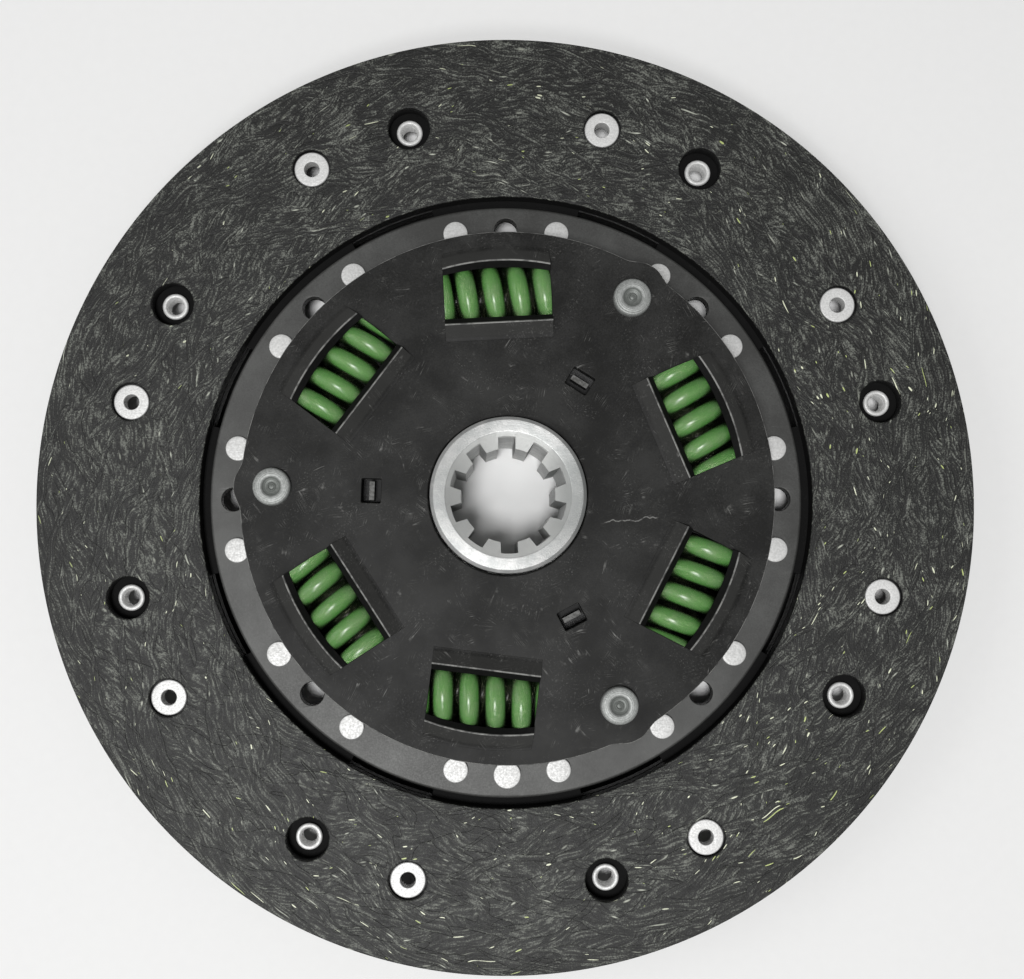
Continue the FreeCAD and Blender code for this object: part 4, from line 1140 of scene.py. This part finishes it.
def turned_steel():
    """Rings left by the tool round each pin's own axis."""
    f = Finish("turned_pin_steel")
    flat = f.join(f.x, f.y, 0.0)
    ways = [f.vector("DISTANCE", flat, on_clock(PIN_CIRCLE, clock)) for clock in pin_clocks()]
    nearest = f.math("MINIMUM", f.math("MINIMUM", ways[0], ways[1]), ways[2])
    groove = f.math("SINE", f.math("MULTIPLY", nearest, 2 * math.pi / 0.42))
    mottle = f.noise(f.place, 0.5)
    colour = f.mix(f.ease(mottle, 0.3, 0.7), *PIN_STEEL)
    colour = f.mix(f.ease(groove, -0.2, 1.0, 0.0, 0.25), colour, PIN_GROOVE)
    colour = f.mix(f.ease(nearest, 2.15, 2.5, 0.7, 0.0), colour, PIN_DISH)
    height = f.sum(f.product(groove, 0.4), mottle)
    return f.finish(colour, 0.48, 0.3, f.relief(height, 0.02), 0.4)


def hub_colour(f, grit):
    """Mottled steel: painted light in the cones, painted shade at the left and right of the face, more at the
    right, black on the flange.
    """
    radius = f.radius()
    cloud = f.noise(f.place, 4.0, 4.0, 0.65)
    colour = f.mix(f.ease(cloud, 0.3, 0.7), *HUB_STEEL)
    colour = f.mix(f.ease(grit, 0.45, 0.75, 0.0, 0.4), colour, HUB_GRIT)
    # Painted light in the cones
    cone_painted_light = f.product(f.fade(radius, CONE_MOUTH - 0.2, CONE_MOUTH + 0.3),
                     f.ease(f.z, HUB_FACE - CONE_DEPTH - 0.4, HUB_FACE - CONE_DEPTH))
    colour = f.mix(f.product(cone_painted_light, 0.8), colour, HUB_CONE_LIGHT)
    # Painted shade at the left and right of the face, deeper at the right
    side_painted_shade = f.product(f.ease(f.off(f.x), 6.0, 15.0), f.ease(f.x, -15.0, 15.0, 0.25, 0.7),
                     f.fade(f.off(f.y), 5.0, 16.0))
    colour = f.mix(side_painted_shade, colour, HUB_SIDE_SHADE)
    return f.mix(f.ease(radius, HUB_OUTER + 0.2, HUB_OUTER + 0.6), colour, FLANGE_BLACK)


def hub_steel():
    """Turned and blasted steel. Tool rings round the axis spread the light along the radius."""
    f = Finish("hub_steel")
    grit = f.noise(f.place, 0.35, 3.0, 0.65)
    rings = f.noise(f.join(f.product(f.radius(), 4.0), 0.0, 0.0), 1.0, 2.0)
    tangent = f.node("ShaderNodeTangent", direction_type="RADIAL", axis="Z").outputs[0]
    f.shade({"Anisotropic": 0.6, "Anisotropic Rotation": 0.25, "Tangent": tangent})
    relief = f.relief(f.sum(grit, f.product(rings, 0.6)), 0.04, f.rounding(0.15))
    return f.finish(hub_colour(f, grit), f.ease(grit, 0.3, 0.7, 0.36, 0.5), 0.5, relief)


def spring_paint():
    """Green paint with a soft gloss on the crowns of the coils, and painted shade on their flanks below them.
    """
    f = Finish("green_spring")
    mottle = f.noise(f.place, 0.4, 4.0, 0.8)
    colour = f.mix(f.ease(mottle, 0.35, 0.7), *PAINT)
    colour = f.mix(f.ease(f.noise(f.place, 4.0, 2.0), 0.4, 0.7, 0.0, 0.5), colour, PAINT_CLOUD)
    off_axis = f.sum(f.off(f.z, SPRING_HEIGHT), f.swing(f.place, 1.5, 0.8, detail=2.0))
    # Painted shade: the coils darken towards their flanks, away from the crown
    colour = f.mix(f.ease(off_axis, 7.5, 9.5, 0.97, 0.0), colour, PAINT_FLANK_SHADE)
    f.shade({"Specular Tint": PAINT_SHINE, "Coat Weight": 0.8, "Coat Roughness": 0.25})
    return f.finish(colour, f.ease(mottle, 0.3, 0.7, 0.3, 0.18), 0.0, f.relief(mottle, 0.25), 1.0)


def studio_paper():
    """White paper, with a painted shadow in one ring below the gap beside the carrier."""
    f = Finish("studio_paper")
    grain = f.noise(f.place, 3.0)
    radius = f.radius()
    under = f.product(f.ease(radius, 77.0, 78.5), f.fade(radius, 86.0, 92.0))
    colour = f.mix(under, f.mix(grain, *PAPER), PAPER_SHADE)
    return f.shade({"Base Color": colour, "Roughness": 0.8, "Specular IOR Level": 0.1})


def dress(node, material):
    """Give a CAD node its material."""
    solid = frame["nodes"][node]
    solid.data.materials.clear()
    solid.data.materials.append(material)


# Pieces that take the place of solids

lining = friction_lining()
# Bare edges are real wear; the second finish is painted shade for the lips' ends and undersides
wear_and_shade = (rubbed_edge(), plain_finish("painted_shade_end", LIP_END_SHADE, size=0.8, rough=0.7, depth=0.03, specular=0.1))
cover = worn_steel("cover_steel", COVER_BLACK, rough=0.52, marked=0.8, specular=0.15, rounding=0.1)
carrier = worn_steel("carrier_steel", CARRIER_GREY, rough=0.48, marked=0.2, specular=0.4, metal=0.25,
                     rounding=0.1)
headed = plated_steel("headed_rivet_steel", HOLLOW_ZINC, HEADED_BORE)
rolled = plated_steel("rolled_rivet_steel", HOLLOW_ZINC, ROLLED_BORE_LIGHT)
green = spring_paint()
friction_ring("moulded_front_facing", "front_facing", 1, lining)
friction_ring("moulded_rear_facing", "rear_facing", -1, lining)
hollow_rivets("rolled_front_rivets", "front_facing_rivets", 1, headed)
hollow_rivets("rolled_rear_rivets", "rear_facing_rivets", -1, rolled)
solid_rivets(plated_steel("plated_rivet_steel", SOLID_ZINC))
pressed_carrier(carrier, wear_and_shade)
pressed_cover(cover, wear_and_shade)
stop_pins(turned_steel())
broached_hub(hub_steel())
for number, clock in enumerate(window_clocks()):
    damper_spring(number + 1, clock, SPRING_CROWNS[number], green)

# Solids that are shown as they are

# The cushion segments are near black: painted shade for the gap between the carrier and the facings
sheet = worn_steel("spring_sheet", SHEET_PAINTED_SHADE, rough=0.7, marked=0.05, specular=0.1)
for number in range(SEGMENT_COUNT):
    dress("cushion_segment_%d" % (number + 1), sheet)
washer = tabbed_washer()
dress("support_washer", washer)
dress("wave_spring", washer)
plastic = plain_finish("friction_plastic", PLASTIC, size=1.2, rough=0.5, depth=0.02)
for node in ("front_friction_ring", "rear_friction_ring", "guide_bush"):
    dress(node, plastic)

# Floor, lights and camera

def floor_and_world():
    shape = Shape()
    shape.faces.append(tuple(shape.loop(circle(FLOOR_RADIUS, HUB_REAR, 64))))
    made = shape.piece("studio_floor", studio_paper())
    world = bpy.data.worlds.new("studio")
    bpy.context.scene.world = world
    world.use_nodes = True
    sky = world.node_tree.nodes["Background"]
    sky.inputs["Color"].default_value = (1.0, 1.0, 1.0, 1.0)
    sky.inputs["Strength"].default_value = SKY_STRENGTH


def lamp(name, lean, distance, size, watts):
    """An area lamp aimed at the disc's centre. Its lean from the vertical is to the right and upward."""
    light = bpy.data.lights.new(name, "AREA")
    light.shape = "RECTANGLE"
    light.size, light.size_y = size
    light.energy = watts
    made = add_object(name, light)
    slopes = [math.tan(math.radians(angle)) for angle in lean]
    direction = Vector((*slopes, 1.0)).normalized()
    up = direction.cross(Vector((1.0, 0.0, 0.0))).normalized()
    across = up.cross(direction)
    columns = Matrix((across, up, direction)).transposed()
    made.matrix_world = Matrix.Translation(direction * distance) @ columns.to_4x4()


def camera():
    lens = bpy.data.cameras.new("camera")
    lens.lens = CAMERA_LENS
    lens.shift_x, lens.shift_y = CAMERA_SHIFT
    lens.clip_start = 0.01
    made = add_object("camera", lens)
    columns = Matrix(CAMERA_AXES).transposed()
    made.matrix_world = Matrix.Translation(Vector(CAMERA_PLACE) * MM) @ columns.to_4x4()
    bpy.context.scene.camera = made


floor_and_world()
lamp("key_lamp", lean=(-7.0, -12.0), distance=1.8, size=(0.42, 0.42), watts=22.0)
lamp("low_lamp", lean=(-6.0, -32.0), distance=1.8, size=(0.32, 0.4), watts=5.0)
lamp("side_lamp", lean=(-55.0, 10.0), distance=3.0, size=(1.4, 2.0), watts=13.0)
camera()
bpy.context.scene.view_settings.view_transform = "Standard"
